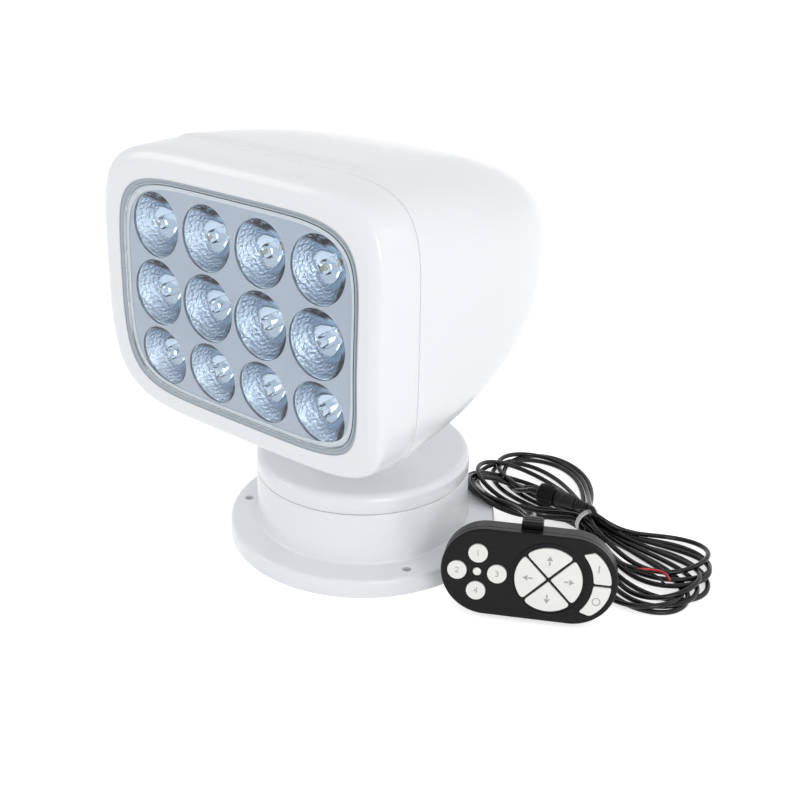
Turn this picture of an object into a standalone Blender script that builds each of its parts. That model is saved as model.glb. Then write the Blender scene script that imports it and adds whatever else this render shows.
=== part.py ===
# Marine searchlight: twelve-cup LED head on a motor-driven pan and tilt base, with its wired remote.
# Metres, +Z up. The origin is on the pan axis at the underside of the base, and the lamp looks along -Y.
import math

import bmesh
import bpy
from mathutils import Matrix, Vector

MM = 0.001

OUTLINE_POINTS = 32
ROUND_STEPS = 32

# Clearances
GAP = 0.3 * MM
SEAM = 0.6 * MM

# Base housing
FLANGE_R = 84.6 * MM
FLANGE_TOP_R = 82.9 * MM
FLANGE_H = 11.5 * MM
DRUM_R = 66.6 * MM
DRUM_H = 45.1 * MM
BASE_WALL = 3.0 * MM
DECK_Z = 12.0 * MM
DECK_T = 3.0 * MM
RIM_RECESS_R = 63.0 * MM
RIM_RECESS_H = 6.5 * MM
MOUNT_HOLE_R = 2.65 * MM
MOUNT_CIRCLE_R = 75.0 * MM
MOUNT_BOSS_R = 6.0 * MM
MOUNT_ANGLES = (-30.0, 90.0, 210.0)
RIB_COUNT = 6
RIB_T = 2.0 * MM
COVER_T = 2.5 * MM
COVER_R = 59.7 * MM
COVER_LEDGE = 3.0 * MM
COVER_POST_R = 4.0 * MM
COVER_POST_CIRCLE_R = 50.0 * MM
COVER_SCREW_R = 1.4 * MM
COVER_SCREW_HEAD_R = 3.0 * MM
COVER_SCREW_HEAD_H = 1.6 * MM
COVER_SCREW_L = 9.0 * MM
CABLE_HOLE_R = 6.5 * MM
CABLE_HOLE_Y = 35.0 * MM
GROMMET_BORE_R = 2.2 * MM
GROMMET_LIP = 2.2 * MM
SEAL_LEDGE_Z = 36.0 * MM
SEAL_H = 3.6 * MM
SPIGOT_T = 2.6 * MM

# Pan drive
SPINDLE_R = 9.0 * MM
SPINDLE_BORE_R = 5.5 * MM
SPINDLE_FLANGE_R = 17.0 * MM
SPINDLE_FLANGE_T = 2.7 * MM
SPINDLE_SHOULDER_R = 11.5 * MM
SPINDLE_SHOULDER_T = 2.0 * MM
PAN_MODULE = 1.5 * MM
PAN_GEAR_TEETH = 40
PAN_PINION_TEETH = 10
PAN_GEAR_T = 6.0 * MM
PAN_BEARING_R = 15.0 * MM
PAN_BEARING_T = 8.0 * MM
NUT_R = 11.0 * MM
NUT_H = 4.0 * MM
TURNTABLE_R = 58.0 * MM
TURNTABLE_Z = 38.0 * MM
TURNTABLE_T = 3.0 * MM
TURNTABLE_HUB_R = 20.0 * MM
PAN_MOTOR_R = 11.0 * MM
PAN_MOTOR_FLANGE_R = 14.0 * MM
PAN_MOTOR_FLANGE_T = 2.0 * MM
PINION_SHAFT_R = 2.0 * MM
PINION_SHAFT_L = 6.0 * MM

# Turret cap and yoke
CAP_Z = DRUM_H + SEAM
CAP_TOP_Z = 57.5 * MM
CAP_EDGE_R = 5.0 * MM
CAP_WALL = 3.0 * MM
CAP_POST_R = 4.5 * MM
CAP_POST_CIRCLE_R = 50.0 * MM
WIRE_HOLE_R = 5.5 * MM
TILT_AXIS_Z = 82.0 * MM
YOKE_HALF_X = 30.0 * MM
YOKE_HALF_Y = 14.0 * MM
YOKE_FOOT_H = 6.2 * MM
CHEEK_T = 9.7 * MM
CHEEK_INNER_X = YOKE_HALF_X - CHEEK_T
CHEEK_EDGE_R = 14.0 * MM
AXLE_R = 5.0 * MM
AXLE_OVERHANG = 2.0 * MM
AXLE_HALF_L = YOKE_HALF_X + AXLE_OVERHANG
AXLE_CAP_R = 8.5 * MM
AXLE_CAP_T = 3.0 * MM

# Tilt drive and neck
NECK_CLEARANCE = 1.6 * MM
NECK_HALF_X = CHEEK_INNER_X - NECK_CLEARANCE
NECK_HALF_Y = 16.5 * MM
NECK_WALL = 3.0 * MM
CAVITY_HALF_X = NECK_HALF_X - NECK_WALL
NECK_TOP_Z = 127.0 * MM
BUSHING_R = 8.0 * MM
BUSHING_FLANGE_R = 10.5 * MM
BUSHING_FLANGE_T = 1.0 * MM
TILT_MODULE = 0.96 * MM
TILT_GEAR_TEETH = 25
TILT_PINION_TEETH = 10
TILT_GEAR_T = 4.5 * MM
TILT_GEAR_CLEARANCE = 1.7 * MM
TILT_GEAR_X = CAVITY_HALF_X - TILT_GEAR_CLEARANCE - TILT_GEAR_T
TILT_MOTOR_R = 8.0 * MM
TILT_MOTOR_CLEARANCE = 0.7 * MM
MOTOR_END_X = TILT_GEAR_X - 1 * MM
MOTOR_START_X = TILT_MOTOR_CLEARANCE - CAVITY_HALF_X
TILT_SHAFT_R = 1.5 * MM
SADDLE_T = 4.0 * MM
BACKLASH = 0.16 * MM

# Head outline
RIM_HALF_W = 100.9 * MM
RIM_TOP_Z = 253.0 * MM
RIM_BOTTOM_Z = 97.6 * MM
RIM_POWER = 5.34
RIM_MIDDLE_Z = (RIM_TOP_Z + RIM_BOTTOM_Z) / 2
RIDGE_SIDE_INSET = 0.9 * MM
RIDGE_TOP_RISE = 0.2 * MM
RIDGE_BOTTOM_INSET = 1.0 * MM
FRAME_SIDE_W = 14.9 * MM
FRAME_TOP_W = 15.5 * MM
FRAME_BOTTOM_W = 13.5 * MM
WINDOW_HALF_W = RIM_HALF_W - FRAME_SIDE_W
WINDOW_TOP_Z = RIM_TOP_Z - FRAME_TOP_W
WINDOW_BOTTOM_Z = RIM_BOTTOM_Z + FRAME_BOTTOM_W
SEAM_Y = -78.0 * MM
SHELL_REAR_Y = 105.0 * MM
SHELL_REAR_RISE = 2.1 * MM
SHELL_REAR_Z = RIM_MIDDLE_Z + SHELL_REAR_RISE
SHELL_REAR_POWER = 2.30
SHELL_WALL = 3.0 * MM
SIDE_TAPER = (3.43, 1 / 2.68)
TOP_TAPER = (1.39, 1 / 3.3)
BOTTOM_TAPER = (2.08, 1 / 1.36)
ROOF_RISE = 1.6 * MM
ROOF_FRONT_Y = -71.0 * MM
ROOF_REAR_Y = 62.0 * MM
ROOF_SIDE_INSET = 30.9 * MM
ROOF_NARROWING = 32.0 * MM
ROOF_HALF_W_FRONT = RIM_HALF_W - ROOF_SIDE_INSET
ROOF_HALF_W_REAR = ROOF_HALF_W_FRONT - ROOF_NARROWING
ROOF_SHOULDER = 9.0 * MM

# Curve of the face: two straight slopes joined by a bend
FACE_Y = -105.5 * MM
FACE_CREST_Z = RIM_BOTTOM_Z + 61.9 * MM
FACE_BEND_LOW_Z = RIM_BOTTOM_Z + 22.4 * MM
FACE_BEND_HIGH_Z = RIM_BOTTOM_Z + 77.4 * MM
FACE_SLOPE_LOW = 0.127
FACE_SLOPE_HIGH = 0.05

# Bezel, lens and reflector
BEZEL_PROUD = 3.2 * MM
BEZEL_SKIN = 3.4 * MM
BEZEL_SHOULDER = 5.2 * MM
BEZEL_SPIGOT_T = 2.3 * MM
BEZEL_SPIGOT_L = 8.0 * MM
SHELL_SEAL_W = 1.6 * MM
SHELL_SEAL_T = 2.4 * MM
LENS_FRONT = -1.3 * MM
LENS_T = 2.0 * MM
LENS_INSET = 3.2 * MM
GASKET_OVERLAP = 2.2 * MM
PLATE_T = 1.4 * MM
CUP_COLUMNS = 4
CUP_ROW_COUNT = 3
CUP_STEPS = 12
CUP_SIDE_MARGIN = 8.8 * MM
CUP_END_MARGIN = 6.8 * MM
CUP_DROP = 1.3 * MM
CUP_WEB_X = 0.8 * MM
CUP_WEB_Z = 0.3 * MM
TOP_CUP_LESS = 0.8 * MM
BOTTOM_CUP_LESS = 1.1 * MM
CUP_PITCH_X = 2 * (WINDOW_HALF_W - CUP_SIDE_MARGIN) / CUP_COLUMNS
CUP_PITCH_Z = (WINDOW_TOP_Z - WINDOW_BOTTOM_Z - 2 * CUP_END_MARGIN) / CUP_ROW_COUNT
CUP_MIDDLE_Z = (WINDOW_TOP_Z + WINDOW_BOTTOM_Z) / 2 - CUP_DROP
CUP_R = min(CUP_PITCH_X / 2 - CUP_WEB_X, CUP_PITCH_Z / 2 - CUP_WEB_Z)
CUP_ROWS = (
    (CUP_MIDDLE_Z + CUP_PITCH_Z, CUP_R - TOP_CUP_LESS), (CUP_MIDDLE_Z, CUP_R),
    (CUP_MIDDLE_Z - CUP_PITCH_Z, CUP_R - BOTTOM_CUP_LESS))
CUP_WALL = 0.6 * MM
CUP_RIM_LAP = 0.15 * MM
CUP_THROAT_R = 4.6 * MM
CUP_FLOOR_Y = -87.5 * MM
ARRAY_WEB_T = 1.5 * MM
ARRAY_RIM_T = 1.7 * MM
LED_BOARD_T = 1.6 * MM
LED_DOME_R = 3.6 * MM
LED_BASE_H = 3.0 * MM
HEAT_SINK_T = 4.0 * MM
HEAT_SINK_INSET = 8.0 * MM
FIN_COUNT = 9
FIN_T = 2.4 * MM
FIN_DEPTH = 24.0 * MM
FIN_END_INSET = 27.7 * MM
FIN_HALF_H = (RIM_TOP_Z - RIM_BOTTOM_Z) / 2 - FIN_END_INSET
FIN_SIDE_INSET = 32.9 * MM
FIN_PITCH = 2 * (RIM_HALF_W - FIN_SIDE_INSET) / (FIN_COUNT - 1)
DRIVER_POST_FIN = 2
DRIVER_EDGE = 4.0 * MM
DRIVER_HALF_W = DRIVER_POST_FIN * FIN_PITCH + DRIVER_EDGE
DRIVER_HALF_H = 24.0 * MM
DRIVER_T = 1.6 * MM
DRIVER_POST_R = 3.0 * MM
DRIVER_POST_L = 5.0 * MM
BOSS_R = 4.5 * MM
BOSS_WEB_T = 3.0 * MM
BOSS_REAR_Y = -52.0 * MM
BOSS_HALF_Z = 36.0 * MM

# Remote, in its own frame: X along it, Y up its face, Z out of its face
REMOTE_L = 98.0 * MM
REMOTE_W = 51.0 * MM
REMOTE_FACE_T = 1.8 * MM
REMOTE_FRONT_D = 5.2 * MM
REMOTE_DEPTH = 17.6 * MM
REMOTE_WALL = 1.8 * MM
REMOTE_EDGE_R = 1.4 * MM
REMOTE_BACK_R = 3.2 * MM
REMOTE_CENTRE = (137.5 * MM, -21.8 * MM, 28.45 * MM)
REMOTE_YAW = 28.1
REMOTE_LEAN = 10.5
KEY_PROUD = 0.9 * MM
KEY_DEPTH = 2.4 * MM
KEY_TRAVEL = 0.8 * MM
KEY_EDGE_R = 0.35 * MM
ROUND_KEYS_X = -28.4 * MM
ROUND_KEY_STEP = 11.2 * MM
ROUND_KEY_R = 5.4 * MM
INDICATOR_R = 2.3 * MM
DPAD_X = 11.2 * MM
DPAD_R = 18.6 * MM
DPAD_SPLIT = 1.5 * MM
DPAD_CORNER_R = 1.8 * MM
DPAD_RING_R = 20.0 * MM
DPAD_RING_W = 1.4 * MM
DPAD_RING_H = 0.6 * MM
ARC_KEY_INNER_R = 24.6 * MM
ARC_KEY_RIM = 3.6 * MM
ARC_KEY_SPLIT = 1.6 * MM
ARC_KEY_INNER_END = 43.0
ARC_KEY_OUTER_END = 58.0
MEMBRANE_T = 1.0 * MM
REMOTE_BOARD_T = 1.6 * MM
CLIP_W = 12.0 * MM
CLIP_H = 4.6 * MM
CLIP_D = 9.0 * MM

# Cable
CABLE_D = 3.1 * MM
CORE_D = 1.5 * MM
HANK_H = 19.0 * MM
HANK_EDGE_R = 5.0 * MM
TIE_POINT = (118.4 * MM, 80.8 * MM)
TIE_ANGLE = -38.0
TIE_R = 7.4 * MM
TIE_W = 3.4 * MM
TIE_T = 0.9 * MM
PLUG_POINT = (86.0 * MM, 74.0 * MM, 21.5 * MM)
PLUG_ANGLE = 6.0
PLUG_NUT_R = 6.6 * MM
PLUG_NUT_L = 11.0 * MM
PLUG_BODY_R = 5.2 * MM
PLUG_BODY_L = 13.0 * MM
PLUG_TAIL_L = 9.0 * MM
LOW_LOBE_X = 145.0 * MM
LOW_LOBE_H = 8.0 * MM


# Materials

def material(name, colour, roughness, metallic=0.0, alpha=1.0):
    made = bpy.data.materials.get(name)
    if made:
        return made
    made = bpy.data.materials.new(name)
    made.use_nodes = True
    shader = made.node_tree.nodes["Principled BSDF"]
    shader.inputs["Base Color"].default_value = (*colour, 1.0)
    shader.inputs["Roughness"].default_value = roughness
    shader.inputs["Metallic"].default_value = metallic
    shader.inputs["Alpha"].default_value = alpha
    return made


def white_gloss():
    return material("white_gloss_paint", (0.86, 0.87, 0.89), 0.25)


def black_plastic():
    return material("black_plastic", (0.02, 0.02, 0.022), 0.42)


def black_rubber():
    return material("black_rubber", (0.018, 0.018, 0.02), 0.55)


def white_key():
    return material("white_key", (0.82, 0.82, 0.8), 0.45)


def board_green():
    return material("circuit_board", (0.03, 0.16, 0.07), 0.5)


def steel():
    return material("stainless_steel", (0.6, 0.6, 0.6), 0.3, 1.0)


def aluminium():
    return material("cast_aluminium", (0.72, 0.73, 0.74), 0.45, 1.0)


def brass():
    return material("brass", (0.7, 0.52, 0.24), 0.35, 1.0)


def nylon():
    return material("natural_nylon", (0.78, 0.76, 0.7), 0.5)


def motor_can():
    return material("motor_can", (0.45, 0.46, 0.48), 0.38, 1.0)


# Making meshes

def add_axis(name, location, parent=None):
    """Empty on a joint's axis, which carries the pieces that turn about it."""
    axis = bpy.data.objects.new(name, None)
    bpy.context.scene.collection.objects.link(axis)
    axis.location = location
    axis.parent = parent
    bpy.context.view_layer.update()
    return axis


def add_object(name, mesh_builder, finish, parent=None, smooth=True, local=False):
    mesh = bpy.data.meshes.new(name)
    mesh_builder.to_mesh(mesh)
    mesh_builder.free()
    made = bpy.data.objects.new(name, mesh)
    bpy.context.scene.collection.objects.link(made)
    if finish:
        mesh.materials.append(finish)
    if smooth:
        mesh.shade_smooth()
        mesh.set_sharp_from_angle(angle=math.radians(35))
    if parent:
        made.parent = parent
        if not local:
            made.matrix_parent_inverse = parent.matrix_world.inverted()
    return made


def joined(*builders):
    result = bmesh.new()
    for builder in builders:
        mesh = bpy.data.meshes.new("joining")
        builder.to_mesh(mesh)
        builder.free()
        result.from_mesh(mesh)
        bpy.data.meshes.remove(mesh)
    return result


def combine(target, tool_mesh, operation, overlapping=False, solver="EXACT"):
    """Adds a Boolean whose tool is a hidden guide object; overlapping tells that its bodies run into each other."""
    tool = add_object(target.name + ".guide", tool_mesh, None, smooth=False)
    tool.parent = target.parent
    tool.matrix_parent_inverse = target.matrix_parent_inverse
    tool.hide_render = True
    tool.display_type = "WIRE"
    modifier = target.modifiers.new(operation.title(), "BOOLEAN")
    modifier.operation = operation
    modifier.solver = solver
    if overlapping:
        modifier.use_self = True
    modifier.object = tool
    return modifier


def moved(builder, x=0.0, y=0.0, z=0.0):
    bmesh.ops.translate(builder, verts=builder.verts, vec=(x, y, z))
    return builder


def turned(profile, segments=48, closed=True):
    """Spins a profile of (radius, height) points about Z. An open profile starts and ends on the axis."""
    builder = bmesh.new()
    points = [builder.verts.new((r, 0.0, z)) for r, z in profile]
    edges = [builder.edges.new(pair) for pair in zip(points, points[1:])]
    if closed:
        edges.append(builder.edges.new((points[-1], points[0])))
    bmesh.ops.spin(
        builder, geom=points + edges, cent=(0, 0, 0), axis=(0, 0, 1),
        angle=math.tau, steps=segments, use_merge=True)
    bmesh.ops.remove_doubles(builder, verts=builder.verts, dist=1e-7)
    bmesh.ops.recalc_face_normals(builder, faces=builder.faces)
    return builder


def cylinder(radius, bottom, top, x=0.0, y=0.0, segments=32):
    return moved(turned([(0, bottom), (radius, bottom), (radius, top), (0, top)], segments, False), x, y)


def to_axis_x(builder):
    """Lays what was turned about Z along +X."""
    bmesh.ops.rotate(builder, verts=builder.verts, matrix=Matrix.Rotation(math.pi / 2, 3, "Y"))
    return builder


def to_axis_y(builder):
    """Lays what was turned about Z along -Y."""
    bmesh.ops.rotate(builder, verts=builder.verts, matrix=Matrix.Rotation(math.pi / 2, 3, "X"))
    return builder


def block(low, high):
    builder = bmesh.new()
    bmesh.ops.create_cube(builder, size=1.0)
    centre = [(a + b) / 2 for a, b in zip(low, high)]
    bmesh.ops.scale(builder, verts=builder.verts, vec=[b - a for a, b in zip(low, high)])
    return moved(builder, *centre)


def extruded(outline, bottom, top):
    """Extrudes a counter-clockwise outline in XY from one height to another."""
    builder = bmesh.new()
    face = builder.faces.new([builder.verts.new((x, y, bottom)) for x, y in outline])
    swept = bmesh.ops.extrude_face_region(builder, geom=[face])["geom"]
    lifted = [item for item in swept if isinstance(item, bmesh.types.BMVert)]
    bmesh.ops.translate(builder, verts=lifted, vec=(0, 0, top - bottom))
    bmesh.ops.recalc_face_normals(builder, faces=builder.faces)
    return builder


def bevelled(builder, radius, segments, choose):
    edges = [edge for edge in builder.edges if choose(edge)]
    bmesh.ops.bevel(
        builder, geom=edges, offset=radius, segments=segments, profile=0.5, affect="EDGES",
        clamp_overlap=True)
    return builder


def rim_edges_at(height):
    def chosen(edge):
        return all(abs(vert.co.z - height) < 1e-6 for vert in edge.verts)
    return chosen


def bridged(rings, closed_ring=False):
    """Skins a list of equal loops. It closes into a tube ring, or caps both ends."""
    builder = bmesh.new()
    loops = [[builder.verts.new(point) for point in ring] for ring in rings]
    pairs = list(zip(loops, loops[1:]))
    if closed_ring:
        pairs.append((loops[-1], loops[0]))
    for one, other in pairs:
        for i in range(len(one)):
            j = (i + 1) % len(one)
            builder.faces.new((one[i], one[j], other[j], other[i]))
    if not closed_ring:
        builder.faces.new(loops[0])
        builder.faces.new(loops[-1])
    bmesh.ops.recalc_face_normals(builder, faces=builder.faces)
    return builder


def arc_points(cx, cy, radius, start, end, count):
    angles = [math.radians(start + (end - start) * i / count) for i in range(count + 1)]
    return [(cx + radius * math.cos(a), cy + radius * math.sin(a)) for a in angles]


def rounded_polygon(corners, radius, count=5):
    """Rounds each corner of a convex counter-clockwise outline with an arc-like curve."""
    outline = []
    for i, corner in enumerate(corners):
        here = Vector(corner)
        before = (Vector(corners[i - 1]) - here).normalized()
        after = (Vector(corners[(i + 1) % len(corners)]) - here).normalized()
        half = before.angle(after) / 2
        reach = radius / math.tan(half)
        start, end = here + before * reach, here + after * reach
        for k in range(count + 1):
            t = k / count
            point = start * (1 - t) ** 2 + here * 2 * t * (1 - t) + end * t ** 2
            outline.append((point.x, point.y))
    return outline


# Gears

def gear_outline(teeth, module, thinning):
    """Straight-sided teeth whose flanks meet an involute at the root and at the tip."""
    pitch_r = teeth * module / 2
    tip_r = pitch_r + module
    root_r = pitch_r - 1.25 * module
    base_r = pitch_r * math.cos(math.radians(20))
    outline = []

    def half_width(radius):
        """Half the angle that a tooth spans at a radius, from the involute of a 20 degree rack."""
        flank = max(radius, base_r)
        pressure = math.acos(min(1.0, base_r / flank))
        turn = math.tan(pressure) - pressure
        at_pitch = math.tan(math.radians(20)) - math.radians(20)
        return math.pi / (2 * teeth) + at_pitch - turn - thinning / (2 * pitch_r)

    radii = (root_r, tip_r)
    for tooth in range(teeth):
        centre = math.tau * tooth / teeth
        left = [(radius, centre - half_width(radius)) for radius in radii]
        right = [(radius, centre + half_width(radius)) for radius in reversed(radii)]
        outline += [(radius * math.cos(a), radius * math.sin(a)) for radius, a in left + right]
    return outline


def gear(teeth, module, bottom, top, thinning):
    return extruded(gear_outline(teeth, module, thinning), bottom, top)


# Head outlines

def face_y(z):
    """Depth of the curved face at a height: straight below and above, bending evenly between."""
    slope_rise = (FACE_SLOPE_HIGH + FACE_SLOPE_LOW) / (FACE_BEND_HIGH_Z - FACE_BEND_LOW_Z)

    def drop(height):
        bend = min(max(height, FACE_BEND_LOW_Z), FACE_BEND_HIGH_Z) - FACE_BEND_LOW_Z
        depth = -FACE_SLOPE_LOW * bend + slope_rise * bend * bend / 2
        depth += FACE_SLOPE_HIGH * max(0.0, height - FACE_BEND_HIGH_Z)
        return depth - FACE_SLOPE_LOW * min(0.0, height - FACE_BEND_LOW_Z)

    return FACE_Y + drop(z) - drop(FACE_CREST_Z)


def squircle(half_w, low, high, power, count):
    """Superellipse outline in X and Z, its points closer together at the corners."""
    half_h = (high - low) / 2
    middle = (high + low) / 2
    outline = []
    for i in range(count):
        angle = math.tau * (i + 0.5) / count
        even = Vector((math.cos(angle), math.sin(angle)))
        gathered = Vector([math.copysign(abs(part) ** (2 / power), part) for part in even])
        gathered = Vector((gathered.x * half_w, gathered.y * half_h)).normalized()
        c, s = (even + gathered).normalized()
        reach = ((abs(c) / half_w) ** power + (abs(s) / half_h) ** power) ** (-1 / power)
        outline.append((reach * c, middle + reach * s))
    return outline


def rim_outline(inset, count=OUTLINE_POINTS):
    return squircle(RIM_HALF_W - inset, RIM_BOTTOM_Z + inset, RIM_TOP_Z - inset, RIM_POWER, count)


def ridge_outline(count=OUTLINE_POINTS):
    low, high = RIM_BOTTOM_Z + RIDGE_BOTTOM_INSET, RIM_TOP_Z + RIDGE_TOP_RISE
    return squircle(RIM_HALF_W - RIDGE_SIDE_INSET, low, high, RIM_POWER, count)


def window_outline(grow, count=OUTLINE_POINTS):
    return squircle(WINDOW_HALF_W + grow, WINDOW_BOTTOM_Z - grow, WINDOW_TOP_Z + grow, RIM_POWER, count)


def smooth_step(value):
    t = min(max(value, 0.0), 1.0)
    return t * t * (3 - 2 * t)


def roof_lift(x, y):
    """Raised roof panel: full height in its middle, fading over its shoulders and to the rear."""
    along = (y - ROOF_FRONT_Y) / (ROOF_REAR_Y - ROOF_FRONT_Y)
    half_w = ROOF_HALF_W_FRONT + (ROOF_HALF_W_REAR - ROOF_HALF_W_FRONT) * min(max(along, 0.0), 1.0)
    sideways = smooth_step((half_w + ROOF_SHOULDER - abs(x)) / ROOF_SHOULDER)
    front = smooth_step((y - ROOF_FRONT_Y) / (4 * MM))
    rear = 1 - smooth_step((along - 0.35) / 0.65)
    return ROOF_RISE * sideways * front * rear


def shell_section(s, y, inset, count=OUTLINE_POINTS):
    """One rounded section of the rear shell; s runs from 0 at the seam to 1 at the rear."""
    side, top, bottom = [max(1 - s ** p, 0.0) ** q for p, q in (SIDE_TAPER, TOP_TAPER, BOTTOM_TAPER)]
    half_w = max(RIM_HALF_W * side - inset, 1.5 * MM)
    high = max(SHELL_REAR_Z + (RIM_TOP_Z - SHELL_REAR_Z) * top - inset, SHELL_REAR_Z + 1.0 * MM)
    low = min(SHELL_REAR_Z - (SHELL_REAR_Z - RIM_BOTTOM_Z) * bottom + inset, SHELL_REAR_Z - 1.0 * MM)
    power = RIM_POWER + (SHELL_REAR_POWER - RIM_POWER) * s
    section = []
    for x, z in squircle(half_w, low, high, power, count):
        above = smooth_step((z - SHELL_REAR_Z) / (30 * MM))
        section.append((x, y, z + roof_lift(x, y) * above))
    return section


OUTER_STEPS = (0, 0.038, 0.07, 0.22, 0.42, 0.6, 0.75, 0.87, 0.95, 0.995)
INNER_STEPS = (0, 0.3, 0.6, 0.8, 0.93, 0.995)


def shell_outer():
    length = SHELL_REAR_Y - SEAM_Y
    return [shell_section(s, SEAM_Y + GAP + s * (length - GAP), 0.0) for s in OUTER_STEPS]


def shell_inner():
    length = SHELL_REAR_Y - SHELL_WALL - SEAM_Y
    return [shell_section(s, SEAM_Y + GAP + s * (length - GAP), SHELL_WALL) for s in INNER_STEPS]


def curved_ring(outer, inner, front, back):
    """Ring between two outlines that follows the curved face at two offsets."""
    def loop(outline, offset):
        return [(x, face_y(z) + offset, z) for x, z in outline]
    return bridged([loop(outer, front), loop(inner, front), loop(inner, back), loop(outer, back)], True)


def flat_plate(outline, front, back):
    """Flat plate inside an outline in X and Z."""
    return bridged([[(x, front, z) for x, z in outline], [(x, back, z) for x, z in outline]])


def curved_plate(outline, front, back):
    """Plate inside an outline, bent to the curve of the face in level strips that stay flat."""
    rings = []
    for z, x in sorted((z, x) for x, z in outline if x > 0):
        here, there = face_y(z) + front, face_y(z) + back
        rings.append([(-x, here, z), (x, here, z), (x, there, z), (-x, there, z)])
    return bridged(rings)


# Base

def make_base_housing():
    deck_top = DECK_Z + DECK_T
    inner = DRUM_R - BASE_WALL
    recess_outer = FLANGE_R - 4.6 * MM
    cover_hole = COVER_R + GAP
    profile = [
        (FLANGE_R, 0), (FLANGE_R - 0.3 * MM, FLANGE_H - 3 * MM), (FLANGE_TOP_R, FLANGE_H),
        (DRUM_R + 1.6 * MM, FLANGE_H), (DRUM_R, FLANGE_H + 1.6 * MM), (DRUM_R, DRUM_H),
        (inner, DRUM_H), (inner, SEAL_LEDGE_Z), (inner - SPIGOT_T, SEAL_LEDGE_Z),
        (inner - SPIGOT_T, SEAL_LEDGE_Z - 4 * MM), (inner, SEAL_LEDGE_Z - 8 * MM), (inner, deck_top),
        (SPINDLE_BORE_R, deck_top), (SPINDLE_BORE_R, DECK_Z), (COVER_R - COVER_LEDGE, DECK_Z),
        (COVER_R - COVER_LEDGE, COVER_T + GAP), (cover_hole, COVER_T + GAP), (cover_hole, 0),
        (RIM_RECESS_R, 0), (RIM_RECESS_R, RIM_RECESS_H), (recess_outer, RIM_RECESS_H), (recess_outer, 0)]
    housing = add_object("base_housing", turned(profile, ROUND_STEPS), white_gloss())
    bosses = [cylinder(MOUNT_BOSS_R, 0, RIM_RECESS_H + 1 * MM, *mount_place(a), 12) for a in MOUNT_ANGLES]
    for i in range(RIB_COUNT):
        rib = block((RIM_RECESS_R - 1 * MM, -RIB_T / 2, 1.5 * MM), (recess_outer + 1 * MM, RIB_T / 2, RIM_RECESS_H + 1 * MM))
        turn = Matrix.Rotation(math.tau * (i + 0.5) / RIB_COUNT, 3, "Z")
        bmesh.ops.rotate(rib, verts=rib.verts, matrix=turn)
        bosses.append(rib)
    for x, y in cover_post_places():
        bosses.append(cylinder(COVER_POST_R, COVER_T + GAP, DECK_Z + 1 * MM, x, y, 8))
    for x, y in board_post_places():
        bosses.append(cylinder(COVER_POST_R, CONTROL_BOARD_Z + CONTROL_BOARD_T + GAP, DECK_Z + 1 * MM, x, y, 8))
    combine(housing, joined(*bosses), "UNION", True)
    holes = [cylinder(MOUNT_HOLE_R, -1 * MM, FLANGE_H + 1 * MM, *mount_place(a), 12) for a in MOUNT_ANGLES]
    for x, y in cover_post_places():
        holes.append(cylinder(COVER_SCREW_R + GAP, 0, COVER_SCREW_L + 1 * MM, x, y, 8))
    combine(housing, joined(*holes), "DIFFERENCE")
    return housing


def mount_place(degrees):
    angle = math.radians(degrees)
    return MOUNT_CIRCLE_R * math.cos(angle), MOUNT_CIRCLE_R * math.sin(angle)


def cover_post_places():
    return [(COVER_POST_CIRCLE_R * math.cos(a), COVER_POST_CIRCLE_R * math.sin(a))
            for a in (math.tau * (i + 0.5) / 4 for i in range(4))]


CONTROL_BOARD_Z = 6.2 * MM
CONTROL_BOARD_T = 1.6 * MM
CONTROL_BOARD_HALF_X = 28.0 * MM
CONTROL_BOARD_LOW_Y = -38.0 * MM
CONTROL_BOARD_HIGH_Y = 18.0 * MM


def board_post_places():
    reach = CONTROL_BOARD_HALF_X - COVER_POST_R
    rows = (CONTROL_BOARD_LOW_Y + COVER_POST_R, CONTROL_BOARD_HIGH_Y - COVER_POST_R)
    return [(x, y) for x in (-reach, reach) for y in rows]


def make_bottom_cover():
    cover = add_object("bottom_cover", cylinder(COVER_R, 0, COVER_T, segments=ROUND_STEPS), white_gloss())
    holes = [cylinder(CABLE_HOLE_R + GAP, -1 * MM, COVER_T + 1 * MM, 0, CABLE_HOLE_Y, 16)]
    recess_r, recess = COVER_SCREW_HEAD_R + GAP, COVER_SCREW_HEAD_H + GAP
    shank_r, through = COVER_SCREW_R + GAP, COVER_T + 1 * MM
    stepped = [(0, -1 * MM), (recess_r, -1 * MM), (recess_r, recess), (shank_r, recess), (shank_r, through), (0, through)]
    holes += [moved(turned(stepped, 8, False), x, y) for x, y in cover_post_places()]
    combine(cover, joined(*holes), "DIFFERENCE")
    for i, (x, y) in enumerate(cover_post_places()):
        head_r, shank_r = COVER_SCREW_HEAD_R, COVER_SCREW_R
        profile = [(0, GAP), (head_r, GAP), (head_r, COVER_SCREW_HEAD_H),
                   (shank_r, COVER_SCREW_HEAD_H), (shank_r, COVER_SCREW_L), (0, COVER_SCREW_L)]
        add_object(f"cover_screw_{i + 1}", moved(turned(profile, 8, False), x, y), steel())


def make_grommet():
    top = COVER_T + GAP
    profile = [(GROMMET_BORE_R, GAP), (CABLE_HOLE_R, GAP), (CABLE_HOLE_R, top),
               (CABLE_HOLE_R + GROMMET_LIP, top), (CABLE_HOLE_R + GROMMET_LIP, top + 1.2 * MM),
               (GROMMET_BORE_R, top + 3.2 * MM)]
    add_object("cable_grommet", moved(turned(profile, 16), 0, CABLE_HOLE_Y), black_rubber())


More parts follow.
